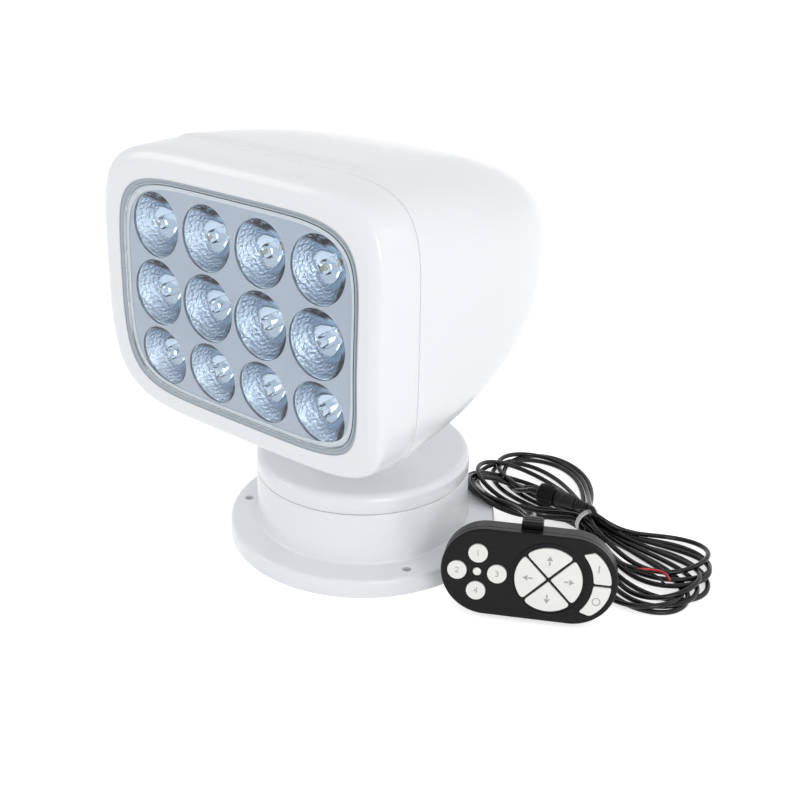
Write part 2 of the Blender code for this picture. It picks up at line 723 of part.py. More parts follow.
def make_control_board():
    low, high = CONTROL_BOARD_LOW_Y, CONTROL_BOARD_HIGH_Y
    half_x, z = CONTROL_BOARD_HALF_X, CONTROL_BOARD_Z
    corners = [(-half_x, low), (half_x, low), (half_x, high), (-half_x, high)]
    board = add_object("control_board", extruded(corners, z, z + CONTROL_BOARD_T), board_green())
    under = z + 0.2 * MM
    relay = block((-20 * MM, -30 * MM, 3.2 * MM), (-8 * MM, -14 * MM, under))
    chip = block((2 * MM, -24 * MM, 4.4 * MM), (12 * MM, -14 * MM, under))
    terminal = block((-14 * MM, 4 * MM, 3.2 * MM), (14 * MM, 12 * MM, under))
    combine(board, joined(relay, chip, terminal), "UNION")


def make_rotary_seal():
    outer = DRUM_R - BASE_WALL - GAP
    low, inner = SEAL_LEDGE_Z + GAP, outer - SPIGOT_T + 2 * GAP
    top = SEAL_LEDGE_Z + SEAL_H
    profile = [(inner, low), (outer, low), (outer, top), (inner, top)]
    add_object("rotary_seal", turned(profile, ROUND_STEPS), black_rubber())


# Pan drive

GEAR_Z = DECK_Z + DECK_T + 2 * GAP + SPINDLE_FLANGE_T
SHOULDER_Z = GEAR_Z + PAN_GEAR_T + GAP
BEARING_Z = SHOULDER_Z + SPINDLE_SHOULDER_T + GAP
NUT_Z = TURNTABLE_Z + TURNTABLE_T + 2 * MM
PAN_CENTRES = (PAN_GEAR_TEETH + PAN_PINION_TEETH) * PAN_MODULE / 2


def make_pan_spindle():
    low = DECK_Z + DECK_T + GAP
    flange_top = low + SPINDLE_FLANGE_T
    top = NUT_Z + NUT_H + 1 * MM
    profile = [(SPINDLE_BORE_R, low), (SPINDLE_FLANGE_R, low), (SPINDLE_FLANGE_R, flange_top),
               (SPINDLE_R, flange_top), (SPINDLE_R, top), (SPINDLE_BORE_R, top)]
    add_object("pan_spindle", turned(profile, 20), steel())


def make_pan_gear():
    """Fixed ring gear, with the spacer that carries the bearing moulded on its hub."""
    wheel = gear(PAN_GEAR_TEETH, PAN_MODULE, GEAR_Z, GEAR_Z + PAN_GEAR_T, BACKLASH)
    bmesh.ops.rotate(wheel, verts=wheel.verts, matrix=Matrix.Rotation(math.pi / 2, 3, "Z"))
    item = add_object("pan_gear", wheel, nylon(), smooth=False)
    hub = cylinder(SPINDLE_SHOULDER_R + 1 * MM, GEAR_Z + 1 * MM, BEARING_Z - GAP, segments=20)
    combine(item, hub, "UNION")
    combine(item, cylinder(SPINDLE_R + GAP, 0, TURNTABLE_Z, segments=20), "DIFFERENCE")


def make_pan_bearing():
    low, high = BEARING_Z, BEARING_Z + PAN_BEARING_T
    inner, outer = SPINDLE_R + GAP, PAN_BEARING_R
    profile = [(inner, low), (outer, low), (outer, high), (inner, high)]
    add_object("pan_bearing", turned(profile, 20), steel())


def make_spindle_nut():
    outline = [(NUT_R * math.cos(math.tau * i / 6), NUT_R * math.sin(math.tau * i / 6)) for i in range(6)]
    nut = add_object("spindle_nut", extruded(outline, NUT_Z, NUT_Z + NUT_H), steel())
    combine(nut, cylinder(SPINDLE_R + GAP, 0, 80 * MM, segments=40), "DIFFERENCE")


def make_turntable(turret):
    bore = PAN_BEARING_R + GAP
    hub_top = NUT_Z - GAP
    low, high = TURNTABLE_Z, TURNTABLE_Z + TURNTABLE_T
    profile = [(bore, BEARING_Z + GAP), (TURNTABLE_HUB_R, BEARING_Z + GAP), (TURNTABLE_HUB_R, low),
               (TURNTABLE_R, low), (TURNTABLE_R, high), (TURNTABLE_HUB_R, high), (TURNTABLE_HUB_R - 2 * MM, hub_top),
               (SPINDLE_R + GAP, hub_top), (SPINDLE_R + GAP, BEARING_Z + PAN_BEARING_T + GAP),
               (bore, BEARING_Z + PAN_BEARING_T + GAP)]
    item = add_object("turntable", turned(profile, 20), nylon(), turret)
    combine(item, cylinder(PAN_MOTOR_R + GAP, 0, 2 * TURNTABLE_Z, 0, PAN_CENTRES, 16), "DIFFERENCE")


def make_pan_motor(turret):
    body_low = GEAR_Z + PAN_GEAR_T + 1.6 * MM
    flange_low = TURNTABLE_Z + TURNTABLE_T + GAP
    top = CAP_TOP_Z - CAP_WALL - 2 * MM
    bore = PINION_SHAFT_R + GAP
    r, flange_r = PAN_MOTOR_R, PAN_MOTOR_FLANGE_R
    profile = [(bore, body_low), (r - 3 * MM, body_low), (r - 3 * MM, body_low + 2 * MM), (r, body_low + 2 * MM),
               (r, flange_low), (flange_r, flange_low), (flange_r, flange_low + PAN_MOTOR_FLANGE_T),
               (r, flange_low + PAN_MOTOR_FLANGE_T), (r, top), (0, top),
               (0, body_low + PINION_SHAFT_L + 2 * GAP), (bore, body_low + PINION_SHAFT_L + 2 * GAP)]
    builder = turned(profile, 16)
    add_object("pan_motor", moved(builder, 0, PAN_CENTRES), motor_can(), turret)


def make_pan_pinion(turret):
    low, high = GEAR_Z, GEAR_Z + PAN_GEAR_T
    wheel = gear(PAN_PINION_TEETH, PAN_MODULE, low, high, BACKLASH)
    phase = -math.pi / 2 + math.pi / PAN_PINION_TEETH
    bmesh.ops.rotate(wheel, verts=wheel.verts, matrix=Matrix.Rotation(phase, 3, "Z"))
    axis = add_axis("pan_pinion_axis", (0, PAN_CENTRES, 0), turret)
    item = add_object("pan_pinion", wheel, brass(), axis, smooth=False, local=True)
    shaft_top = high + 1.6 * MM + PINION_SHAFT_L
    combine(item, cylinder(PINION_SHAFT_R, low + 1 * MM, shaft_top, segments=12), "UNION")


# Turret

def make_turret_cap(turret):
    outer, edge, inner = DRUM_R, CAP_EDGE_R, DRUM_R - CAP_WALL
    spigot_outer = DRUM_R - BASE_WALL - 2 * GAP
    spigot_inner = spigot_outer - SPIGOT_T
    spigot_low = SEAL_LEDGE_Z + SEAL_H + GAP
    ceiling = CAP_TOP_Z - CAP_WALL
    round_edge = arc_points(outer - edge, CAP_TOP_Z - edge, edge, 0, 90, 3)
    profile = [(outer, CAP_Z)] + round_edge
    profile += [(WIRE_HOLE_R, CAP_TOP_Z), (WIRE_HOLE_R, ceiling), (inner - edge, ceiling),
                (spigot_inner, ceiling - 4 * MM), (spigot_inner, spigot_low),
                (spigot_outer, spigot_low), (spigot_outer, CAP_Z)]
    cap = add_object("turret_cap", turned(profile, ROUND_STEPS), white_gloss(), turret)
    posts = []
    for degrees in (30, 150, 270):
        x = CAP_POST_CIRCLE_R * math.cos(math.radians(degrees))
        y = CAP_POST_CIRCLE_R * math.sin(math.radians(degrees))
        posts.append(cylinder(CAP_POST_R, TURNTABLE_Z + TURNTABLE_T + GAP, ceiling + 1 * MM, x, y, 12))
    combine(cap, joined(*posts), "UNION")


def make_yoke(turret):
    low = CAP_TOP_Z + GAP
    foot_top = low + YOKE_FOOT_H
    corners = [(-YOKE_HALF_X, -YOKE_HALF_Y), (YOKE_HALF_X, -YOKE_HALF_Y), (YOKE_HALF_X, YOKE_HALF_Y),
               (-YOKE_HALF_X, YOKE_HALF_Y)]
    yoke = add_object("yoke", extruded(rounded_polygon(corners, 5 * MM), low, foot_top), white_gloss(), turret)
    half_y, edge_r, drop = YOKE_HALF_Y, CHEEK_EDGE_R, TILT_AXIS_Z - foot_top + 1 * MM
    ear = [(-half_y, -drop), (half_y, -drop)] + arc_points(0, 0, edge_r, 0, 180, 12)
    for side in (-1, 1):
        cheek = extruded(ear, CHEEK_INNER_X, YOKE_HALF_X)
        bmesh.ops.rotate(cheek, verts=cheek.verts, matrix=Matrix.Rotation(math.pi / 2, 3, "X"))
        bmesh.ops.rotate(cheek, verts=cheek.verts, matrix=Matrix.Rotation(side * math.pi / 2, 3, "Z"))
        combine(yoke, moved(cheek, z=TILT_AXIS_Z), "UNION")
    bore = to_axis_x(cylinder(AXLE_R + GAP, -2 * YOKE_HALF_X, 2 * YOKE_HALF_X, segments=16))
    combine(yoke, moved(bore, z=TILT_AXIS_Z), "DIFFERENCE")
    combine(yoke, cylinder(WIRE_HOLE_R, 0, TILT_AXIS_Z, segments=16), "DIFFERENCE")


def make_tilt_axle(turret):
    r, half = AXLE_R, AXLE_HALF_L
    axle = moved(to_axis_x(cylinder(r, -half, half, segments=16)), z=TILT_AXIS_Z)
    add_object("tilt_axle", axle, steel(), turret)


def make_axle_caps(turret):
    low, floor = YOKE_HALF_X + GAP, AXLE_HALF_L + GAP
    top = floor + AXLE_CAP_T - 1 * MM
    profile = [(AXLE_R + GAP, low), (AXLE_CAP_R, low), (AXLE_CAP_R, top - 0.8 * MM), (AXLE_CAP_R - 0.8 * MM, top),
               (0, top), (0, floor), (AXLE_R + GAP, floor)]
    for name, side in (("axle_cap_right", 1), ("axle_cap_left", -1)):
        cap = to_axis_x(turned(profile, 16))
        bmesh.ops.rotate(cap, verts=cap.verts, matrix=Matrix.Rotation(0 if side > 0 else math.pi, 3, "Z"))
        add_object(name, moved(cap, z=TILT_AXIS_Z), white_gloss(), turret)


def make_tilt_gear(turret):
    wheel = gear(TILT_GEAR_TEETH, TILT_MODULE, TILT_GEAR_X, TILT_GEAR_X + TILT_GEAR_T, BACKLASH)
    bmesh.ops.rotate(wheel, verts=wheel.verts, matrix=Matrix.Rotation(math.pi, 3, "Z"))
    item = add_object("tilt_gear", moved(to_axis_x(wheel), z=TILT_AXIS_Z), nylon(), turret, smooth=False)
    bore = to_axis_x(cylinder(AXLE_R + GAP, -YOKE_HALF_X, YOKE_HALF_X, segments=16))
    combine(item, moved(bore, z=TILT_AXIS_Z), "DIFFERENCE")


# Head

LED_BOARD_Y = CUP_FLOOR_Y + ARRAY_WEB_T + GAP
HEAT_SINK_Y = LED_BOARD_Y + LED_BOARD_T + GAP
HEAT_SINK_BACK_Y = HEAT_SINK_Y + HEAT_SINK_T
TILT_CENTRES = (TILT_GEAR_TEETH + TILT_PINION_TEETH) * TILT_MODULE / 2
MOTOR_Z = TILT_AXIS_Z + TILT_CENTRES
CAVITY_HALF_Y = NECK_HALF_Y - NECK_WALL


def make_neck(head):
    """Barrel round the tilt axle, rising as a box column into the head."""
    def stadium(radius, top):
        return [(-radius, top)] + [(x, z) for x, z in arc_points(0, TILT_AXIS_Z, radius, 180, 360, 12)] + [(radius, top)]

    def column(radius, half_x, top):
        builder = extruded(stadium(radius, top), -half_x, half_x)
        turn = Matrix(((0, 0, 1), (1, 0, 0), (0, 1, 0)))
        bmesh.ops.transform(builder, matrix=turn.to_4x4(), verts=builder.verts)
        return builder

    neck = add_object("neck_housing", column(NECK_HALF_Y, NECK_HALF_X, NECK_TOP_Z), white_gloss(), head)
    combine(neck, column(CAVITY_HALF_Y, CAVITY_HALF_X, NECK_TOP_Z - NECK_WALL), "DIFFERENCE")
    saddle_low = TILT_AXIS_Z + AXLE_R + 1.5 * MM
    reach = CAVITY_HALF_Y + 1 * MM
    for x in (MOTOR_START_X + 2 * MM, MOTOR_END_X - 3.5 * MM - SADDLE_T):
        combine(neck, block((x, -reach, saddle_low), (x + SADDLE_T, reach, MOTOR_Z)), "UNION")
    holes = [
        moved(to_axis_x(cylinder(BUSHING_R + GAP, -YOKE_HALF_X, YOKE_HALF_X, segments=16)), z=TILT_AXIS_Z),
        moved(to_axis_x(cylinder(TILT_MOTOR_R + GAP, -CAVITY_HALF_X + 0.5 * MM, CAVITY_HALF_X - 0.5 * MM, segments=16)), z=MOTOR_Z),
        cylinder(WIRE_HOLE_R, MOTOR_Z + TILT_MOTOR_R, 2 * NECK_TOP_Z, segments=16)]
    for hole in holes:
        combine(neck, hole, "DIFFERENCE")


def make_bushings(head):
    inner, outer = CAVITY_HALF_X, NECK_HALF_X
    start = outer + GAP
    profile = [(AXLE_R + GAP, inner), (BUSHING_R, inner), (BUSHING_R, start), (BUSHING_FLANGE_R, start),
               (BUSHING_FLANGE_R, start + BUSHING_FLANGE_T), (AXLE_R + GAP, start + BUSHING_FLANGE_T)]
    for name, side in (("bushing_right", 1), ("bushing_left", -1)):
        ring = to_axis_x(turned(profile, 16))
        bmesh.ops.rotate(ring, verts=ring.verts, matrix=Matrix.Rotation(0 if side > 0 else math.pi, 3, "Z"))
        add_object(name, moved(ring, z=TILT_AXIS_Z), nylon(), head)


def make_tilt_motor(head):
    r, start, end = TILT_MOTOR_R, MOTOR_START_X, MOTOR_END_X
    bore, depth = TILT_SHAFT_R + GAP, 6 * MM
    profile = [(0, start), (r, start), (r, end - 2 * MM), (r - 3 * MM, end - 2 * MM),
               (r - 3 * MM, end), (bore, end), (bore, end - depth), (0, end - depth)]
    add_object("tilt_motor", moved(to_axis_x(turned(profile, 16)), z=MOTOR_Z), motor_can(), head)


def make_tilt_pinion(head):
    low, high = TILT_GEAR_X, TILT_GEAR_X + TILT_GEAR_T
    wheel = gear(TILT_PINION_TEETH, TILT_MODULE, low, high, BACKLASH)
    shaft = cylinder(TILT_SHAFT_R, MOTOR_END_X - 5.6 * MM, high - 1 * MM, segments=12)
    phase = math.pi / TILT_PINION_TEETH
    bmesh.ops.rotate(wheel, verts=wheel.verts, matrix=Matrix.Rotation(phase, 3, "Z"))
    axis = add_axis("tilt_pinion_axis", (0, 0, TILT_CENTRES), head)
    item = add_object("tilt_pinion", to_axis_x(wheel), brass(), axis, smooth=False, local=True)
    combine(item, to_axis_x(shaft), "UNION")


def make_head_shell(head):
    walls = bridged(shell_outer()[::-1] + shell_inner())
    shell = add_object("head_shell", walls, white_gloss(), head)
    posts = []
    web_front = SEAM_Y + BEZEL_SPIGOT_L + 1.5 * MM
    for x, z in boss_places():
        boss = to_axis_y(cylinder(BOSS_R, -BOSS_REAR_Y, -HEAT_SINK_BACK_Y - GAP, segments=10))
        posts.append(moved(boss, x, 0, z))
        low, high = sorted((x, math.copysign(RIM_HALF_W - 0.8 * SHELL_WALL, x)))
        posts.append(block((low, web_front, z - BOSS_WEB_T / 2), (high, BOSS_REAR_Y, z + BOSS_WEB_T / 2)))
    combine(shell, joined(*posts), "UNION", True)
    slot_x, slot_y = NECK_HALF_X + GAP, NECK_HALF_Y + GAP
    combine(shell, block((-slot_x, -slot_y, 0), (slot_x, slot_y, NECK_TOP_Z + GAP)), "DIFFERENCE")


def boss_places():
    middle = RIM_MIDDLE_Z
    reach = RIM_HALF_W - BEZEL_SHOULDER - BEZEL_SPIGOT_T - BOSS_R - 1.7 * MM
    return [(x, middle + z) for x in (-reach, reach) for z in (-BOSS_HALF_Z, BOSS_HALF_Z)]


def flat_ring(outer, inner, front, back):
    def loop(outline, y):
        return [(x, y, z) for x, z in outline]
    return bridged([loop(outer, front), loop(inner, front), loop(inner, back), loop(outer, back)], True)


def make_shell_seal(head):
    near, far = SHELL_WALL + GAP, SHELL_WALL + GAP + SHELL_SEAL_W
    front = SEAM_Y
    ring = flat_ring(rim_outline(near), rim_outline(far), front, front + SHELL_SEAL_T)
    add_object("shell_seal", ring, black_rubber(), head)


def make_bezel(head):
    """Frame with a rounded front that follows the curved face, a lens rebate and a rear spigot."""
    outer, inner = ridge_outline(), window_outline(0)
    back = SEAM_Y - GAP

    def blend(w):
        return [((1 - w) * a[0] + w * b[0], (1 - w) * a[1] + w * b[1]) for a, b in zip(outer, inner)]

    def on_face(w, offset):
        return [(x, face_y(z) + offset, z) for x, z in blend(w)]

    def flat(inset, y):
        return [(x, y, z) for x, z in rim_outline(inset)]

    proud = BEZEL_PROUD
    rebate = LENS_FRONT - GAP
    spigot = BEZEL_SHOULDER + BEZEL_SPIGOT_T
    rings = [
        flat(0, back), on_face(0.0, 6 * MM), on_face(0.03, 1.6 * MM), on_face(0.14, -1.4 * MM), on_face(0.45, -proud),
        on_face(0.86, 0.3 * MM - proud), on_face(1.0, rebate - 0.5 * MM),
        on_face(1.0, rebate), on_face(0.8, rebate), on_face(0.8, 3.6 * MM), on_face(0.3, BEZEL_SKIN - proud + 1.2 * MM), flat(3 * MM, back - 9 * MM),
        flat(spigot, back - 6 * MM), flat(spigot, back + BEZEL_SPIGOT_L), flat(BEZEL_SHOULDER, back + BEZEL_SPIGOT_L),
        flat(BEZEL_SHOULDER, back)]
    add_object("front_bezel", bridged(rings, True), white_gloss(), head)


def make_lens_group(head):
    lens_back = LENS_FRONT + LENS_T
    lens = curved_plate(window_outline(-LENS_INSET), LENS_FRONT, lens_back)
    clear = material("clear_lens", (0.9, 0.95, 0.97), 0.03, 0.0, 0.2)
    add_object("lens", lens, clear, head)
    gasket_outer = window_outline(GASKET_OVERLAP - GAP)
    ring = curved_ring(gasket_outer, window_outline(GAP - LENS_INSET), LENS_FRONT, lens_back)
    grey = material("grey_gasket", (0.42, 0.46, 0.52), 0.5)
    add_object("lens_gasket", ring, grey, head)


def cup_places():
    for z, radius in CUP_ROWS:
        for column in range(CUP_COLUMNS):
            yield (column - (CUP_COLUMNS - 1) / 2) * CUP_PITCH_X, z, radius


def make_reflector(head):
    """Curved face plate over a tray of twelve parabolic cups, the part that takes the most skill."""
    plate_front = LENS_FRONT + LENS_T + GAP
    plate_back = plate_front + PLATE_T
    satin = material("satin_silver", (0.62, 0.66, 0.7), 0.32, 0.9)
    plate = add_object("reflector_plate", curved_plate(window_outline(GASKET_OVERLAP - GAP), plate_front, plate_back),
                       satin, head)
    holes = [moved(to_axis_y(cylinder(radius, -SEAM_Y, -2 * FACE_Y, segments=CUP_STEPS)), x, 0, z)
             for x, z, radius in cup_places()]
    combine(plate, joined(*holes), "DIFFERENCE")

    web_back = CUP_FLOOR_Y + ARRAY_WEB_T
    tray_outer = window_outline(GASKET_OVERLAP - 0.8 * MM)
    tray_inner = window_outline(GASKET_OVERLAP - 0.8 * MM - ARRAY_RIM_T)
    tray = flat_ring(tray_outer, tray_inner, FACE_Y - 3 * MM, web_back)
    floor = flat_plate(window_outline(GASKET_OVERLAP - 1.6 * MM), CUP_FLOOR_Y, web_back)
    chrome = material("vacuum_chrome", (0.86, 0.88, 0.9), 0.06, 1.0)
    array = add_object("reflector_array", tray, chrome, head)
    combine(array, floor, "UNION")
    combine(array, joined(*[cup_solid(*place, CUP_WALL, 0.7 * MM, 1.4 * MM) for place in cup_places()]), "UNION")
    combine(array, joined(*[cup_solid(*place, 0.0, 5 * MM, 2 * MM) for place in cup_places()]), "DIFFERENCE")
    front = curved_plate(window_outline(8 * MM), -20 * MM, plate_back + GAP)
    combine(array, front, "DIFFERENCE", solver="MANIFOLD")


def cup_solid(x, z, radius, wall, sink, past_rim, rings=2):
    """Solid of a parabolic cup that opens to the front; sink and past_rim carry it past its ends."""
    floor = -CUP_FLOOR_Y
    rim = -face_y(z) - LENS_FRONT - LENS_T - GAP - PLATE_T
    mouth_r = radius + CUP_RIM_LAP
    widening = (mouth_r ** 2 - CUP_THROAT_R ** 2) / (rim - floor)
    profile = [(0, floor - sink), (CUP_THROAT_R + wall, floor - sink)]
    for i in range(rings + 1):
        along = (i / rings) ** 1.6 * (rim - floor)
        profile.append((math.sqrt(CUP_THROAT_R ** 2 + widening * along) + wall, floor + along))
    profile += [(mouth_r + wall, rim + past_rim), (0, rim + past_rim)]
    return moved(to_axis_y(turned(profile, CUP_STEPS, False)), x, 0, z)


def make_led_board(head):
    front = LED_BOARD_Y
    plate = flat_plate(window_outline(-6 * MM), front, front + LED_BOARD_T)
    board = add_object("led_board", plate, material("board_white", (0.8, 0.8, 0.78), 0.4), head)
    top = -front + LED_BASE_H
    dome = arc_points(0, top, LED_DOME_R, 0, 90, 2)
    profile = [(0, -front - 0.5 * MM), (LED_DOME_R, -front - 0.5 * MM)] + dome
    profile[-1] = (0, top + LED_DOME_R)
    emitters = [moved(to_axis_y(turned(profile, 6, False)), x, 0, z) for x, z, radius in cup_places()]
    combine(board, joined(*emitters), "UNION")


def make_heat_sink(head):
    back = HEAT_SINK_BACK_Y
    plate = flat_plate(rim_outline(HEAT_SINK_INSET), HEAT_SINK_Y, back)
    sink = add_object("heat_sink", plate, aluminium(), head)
    middle = RIM_MIDDLE_Z
    fins = []
    for i in range(FIN_COUNT):
        x = (i - (FIN_COUNT - 1) / 2) * FIN_PITCH
        low, high = (x - FIN_T / 2, back - 0.5 * MM, middle - FIN_HALF_H), (x + FIN_T / 2, back + FIN_DEPTH, middle + FIN_HALF_H)
        fins.append(block(low, high))
    for x in (-DRIVER_POST_FIN * FIN_PITCH, DRIVER_POST_FIN * FIN_PITCH):
        for z in (middle - DRIVER_HALF_H + DRIVER_EDGE, middle + DRIVER_HALF_H - DRIVER_EDGE):
            post = to_axis_y(cylinder(DRIVER_POST_R, -back - FIN_DEPTH - DRIVER_POST_L, -back, segments=12))
            fins.append(moved(post, x, 0, z))
    combine(sink, joined(*fins), "UNION", True)
    board_y = back + FIN_DEPTH + DRIVER_POST_L + GAP
    card = block((-DRIVER_HALF_W, board_y, middle - DRIVER_HALF_H), (DRIVER_HALF_W, board_y + DRIVER_T, middle + DRIVER_HALF_H))
    board = add_object("driver_board", card, board_green(), head)
    under = board_y + DRIVER_T - 0.2 * MM
    coil = moved(to_axis_y(cylinder(8 * MM, -under - 9 * MM, -under, segments=12)), -20 * MM, 0, middle)
    can = moved(to_axis_y(cylinder(5 * MM, -under - 14 * MM, -under, segments=12)), 4 * MM, 0, middle + 8 * MM)
    chip = block((12 * MM, under, middle - 14 * MM), (26 * MM, under + 3 * MM, middle - 4 * MM))
    combine(board, joined(coil, can, chip), "UNION")


# Remote

def pill(inset, count=10):
    half, radius = REMOTE_L / 2 - REMOTE_W / 2, REMOTE_W / 2 - inset
    return arc_points(half, 0, radius, -90, 90, count) + arc_points(-half, 0, radius, 90, 270, count)


def grown(outline, amount):
    """Moves a counter-clockwise outline outwards."""
    result = []
    for i, point in enumerate(outline):
        here = Vector(point)
        before = here - Vector(outline[i - 1])
        after = Vector(outline[(i + 1) % len(outline)]) - here
        normals = [Vector((side.y, -side.x)).normalized() for side in (before, after)]
        middle = (normals[0] + normals[1]).normalized()
        moved_point = here + middle * amount / middle.dot(normals[0])
        result.append((moved_point.x, moved_point.y))
    return result


def pad_key_outline(direction, grow=0.0):
    """Quarter of the round pad with eased corners, made towards +X and then turned."""
    half_split = DPAD_SPLIT / 2
    edge_angle = 45 - math.degrees(math.asin(half_split / DPAD_R))
    tip = (half_split * math.sqrt(2), 0)
    rim = arc_points(0, 0, DPAD_R, -edge_angle, edge_angle, 8)
    outline = [tip]
    for corner, before, after in ((rim[0], tip, rim[2]), (rim[-1], rim[-3], tip)):
        corner, before, after = Vector(corner), Vector(before), Vector(after)
        start = corner + (before - corner).normalized() * DPAD_CORNER_R
        end = corner + (after - corner).normalized() * DPAD_CORNER_R
        eased = [start * (1 - t) ** 2 + corner * 2 * t * (1 - t) + end * t ** 2 for t in (0, 0.5, 0.9)]
        outline += [(point.x, point.y) for point in eased]
        if before.x == tip[0]:
            outline += rim[1:-1]
    turn = Matrix.Rotation(math.radians(direction), 2)
    turned_points = [turn @ Vector(point) for point in (grown(outline, grow) if grow else outline)]
    return [(DPAD_X + point.x, point.y) for point in turned_points]


def arc_key_outline(side, grow=0.0):
    """Key between the circle round the pad and the rounded end of the case."""
    end_x = REMOTE_L / 2 - REMOTE_W / 2
    inner_r, outer_r = ARC_KEY_INNER_R, REMOTE_W / 2 - ARC_KEY_RIM
    low = ARC_KEY_SPLIT / 2
    inner = arc_points(DPAD_X, 0, inner_r, math.degrees(math.asin(low / inner_r)), ARC_KEY_INNER_END, 4)
    outer = arc_points(end_x, 0, outer_r, math.degrees(math.asin(low / outer_r)), ARC_KEY_OUTER_END, 4)
    outline = outer + inner[::-1]
    if grow:
        outline = grown(outline, grow)
    if side < 0:
        outline = [(x, -y) for x, y in outline[::-1]]
    return outline


def keys():
    """Name, and a function that gives the outline widened by an amount."""
    def round_outline(dx, dy):
        return lambda grow=0.0: arc_points(ROUND_KEYS_X + dx, dy, ROUND_KEY_R + grow, 0, 360, 12)[:-1]
    step = ROUND_KEY_STEP
    return [
        ("key_1", round_outline(0, step)), ("key_2", round_outline(-step, 0)),
        ("key_3", round_outline(step, 0)), ("key_4", round_outline(0, -step)),
        ("key_right", lambda grow=0.0: pad_key_outline(0, grow)), ("key_up", lambda grow=0.0: pad_key_outline(90, grow)),
        ("key_left", lambda grow=0.0: pad_key_outline(180, grow)), ("key_down", lambda grow=0.0: pad_key_outline(270, grow)),
        ("key_on", lambda grow=0.0: arc_key_outline(1, grow)), ("key_off", lambda grow=0.0: arc_key_outline(-1, grow))]


def make_remote():
    frame = add_axis("remote_frame", REMOTE_CENTRE)
    upright = Matrix.Rotation(math.pi / 2, 4, "X")
    lean = Matrix.Rotation(math.radians(-REMOTE_LEAN), 4, "X")
    yaw = Matrix.Rotation(math.radians(REMOTE_YAW), 4, "Z")
    frame.matrix_world = Matrix.Translation(REMOTE_CENTRE) @ yaw @ lean @ upright
    bpy.context.view_layer.update()

    front = extruded(pill(0), -REMOTE_FRONT_D, 0)
    bevelled(front, REMOTE_EDGE_R, 2, rim_edges_at(0))
    front_shell = add_object("remote_front_shell", front, black_plastic(), frame, local=True)
    ring = turned([(DPAD_RING_R, -0.5 * MM), (DPAD_RING_R + DPAD_RING_W, -0.5 * MM), (DPAD_RING_R + DPAD_RING_W, 0.1 * MM),
                   (DPAD_RING_R + DPAD_RING_W / 2, DPAD_RING_H), (DPAD_RING_R, 0.1 * MM)], 24)
    combine(front_shell, moved(ring, DPAD_X), "UNION")
    combine(front_shell, extruded(pill(REMOTE_WALL), -20 * MM, -REMOTE_FACE_T), "DIFFERENCE")
    holes = [extruded(outline(GAP), -5 * MM, 5 * MM) for name, outline in keys()]
    holes.append(cylinder(INDICATOR_R + GAP, -5 * MM, 5 * MM, ROUND_KEYS_X, 0, 12))
    combine(front_shell, joined(*holes), "DIFFERENCE")

    back_top = -REMOTE_FRONT_D - GAP
    rear = extruded(pill(0), -REMOTE_DEPTH, back_top)
    bevelled(rear, REMOTE_BACK_R, 2, rim_edges_at(-REMOTE_DEPTH))
    rear_shell = add_object("remote_rear_shell", rear, black_plastic(), frame, local=True)
    combine(rear_shell, extruded(pill(REMOTE_WALL), -REMOTE_DEPTH + REMOTE_WALL, 5 * MM), "DIFFERENCE")
    board_top = -REMOTE_FACE_T - KEY_TRAVEL - 1.2 * MM - MEMBRANE_T - 2.5 * MM
    posts = [cylinder(3 * MM, -REMOTE_DEPTH + 1 * MM, board_top - REMOTE_BOARD_T - GAP, x, y, 12)
             for x in (-34 * MM, 34 * MM) for y in (-13 * MM, 13 * MM)]
    combine(rear_shell, joined(*posts), "UNION")

    indicator = cylinder(INDICATOR_R, -KEY_DEPTH, 0.4 * MM, ROUND_KEYS_X, 0, 12)
    add_object("indicator_light", indicator, white_key(), frame, local=True)
    key_bottom = -KEY_DEPTH
    for name, outline in keys():
        cap = extruded(outline(), key_bottom, KEY_PROUD)
        bevelled(cap, KEY_EDGE_R, 1, rim_edges_at(KEY_PROUD))
        add_object(name, cap, white_key(), frame, local=True)

    mat_top = key_bottom - KEY_TRAVEL - GAP
    mat = extruded(pill(REMOTE_WALL + GAP), mat_top - MEMBRANE_T, mat_top)
    add_object("keypad_mat", mat, material("grey_silicone", (0.35, 0.36, 0.37), 0.6), frame, local=True)
    card_top = mat_top - MEMBRANE_T - GAP
    card = add_object("remote_board", extruded(pill(REMOTE_WALL + GAP), card_top - REMOTE_BOARD_T, card_top), board_green(), frame, local=True)
    battery = block((-12 * MM, -10 * MM, card_top - REMOTE_BOARD_T - 4 * MM), (12 * MM, 8 * MM, card_top - 0.2 * MM))
    combine(card, battery, "UNION")

    low = REMOTE_W / 2 + GAP
    clip = block((-CLIP_W / 2, low, -REMOTE_DEPTH + 2 * MM), (CLIP_W / 2, low + CLIP_H, -REMOTE_DEPTH + 2 * MM + CLIP_D))
    bevelled(clip, 1 * MM, 2, lambda edge: all(vert.co.y > low + 1 * MM for vert in edge.verts))
    clip_item = add_object("cable_clip", clip, black_plastic(), frame, local=True)
    passage = cylinder(CABLE_D / 2 + GAP, -REMOTE_DEPTH - 5 * MM, -REMOTE_DEPTH + 5.4 * MM, 0, low + CLIP_H / 2, 12)
    combine(clip_item, passage, "DIFFERENCE")


# Cable

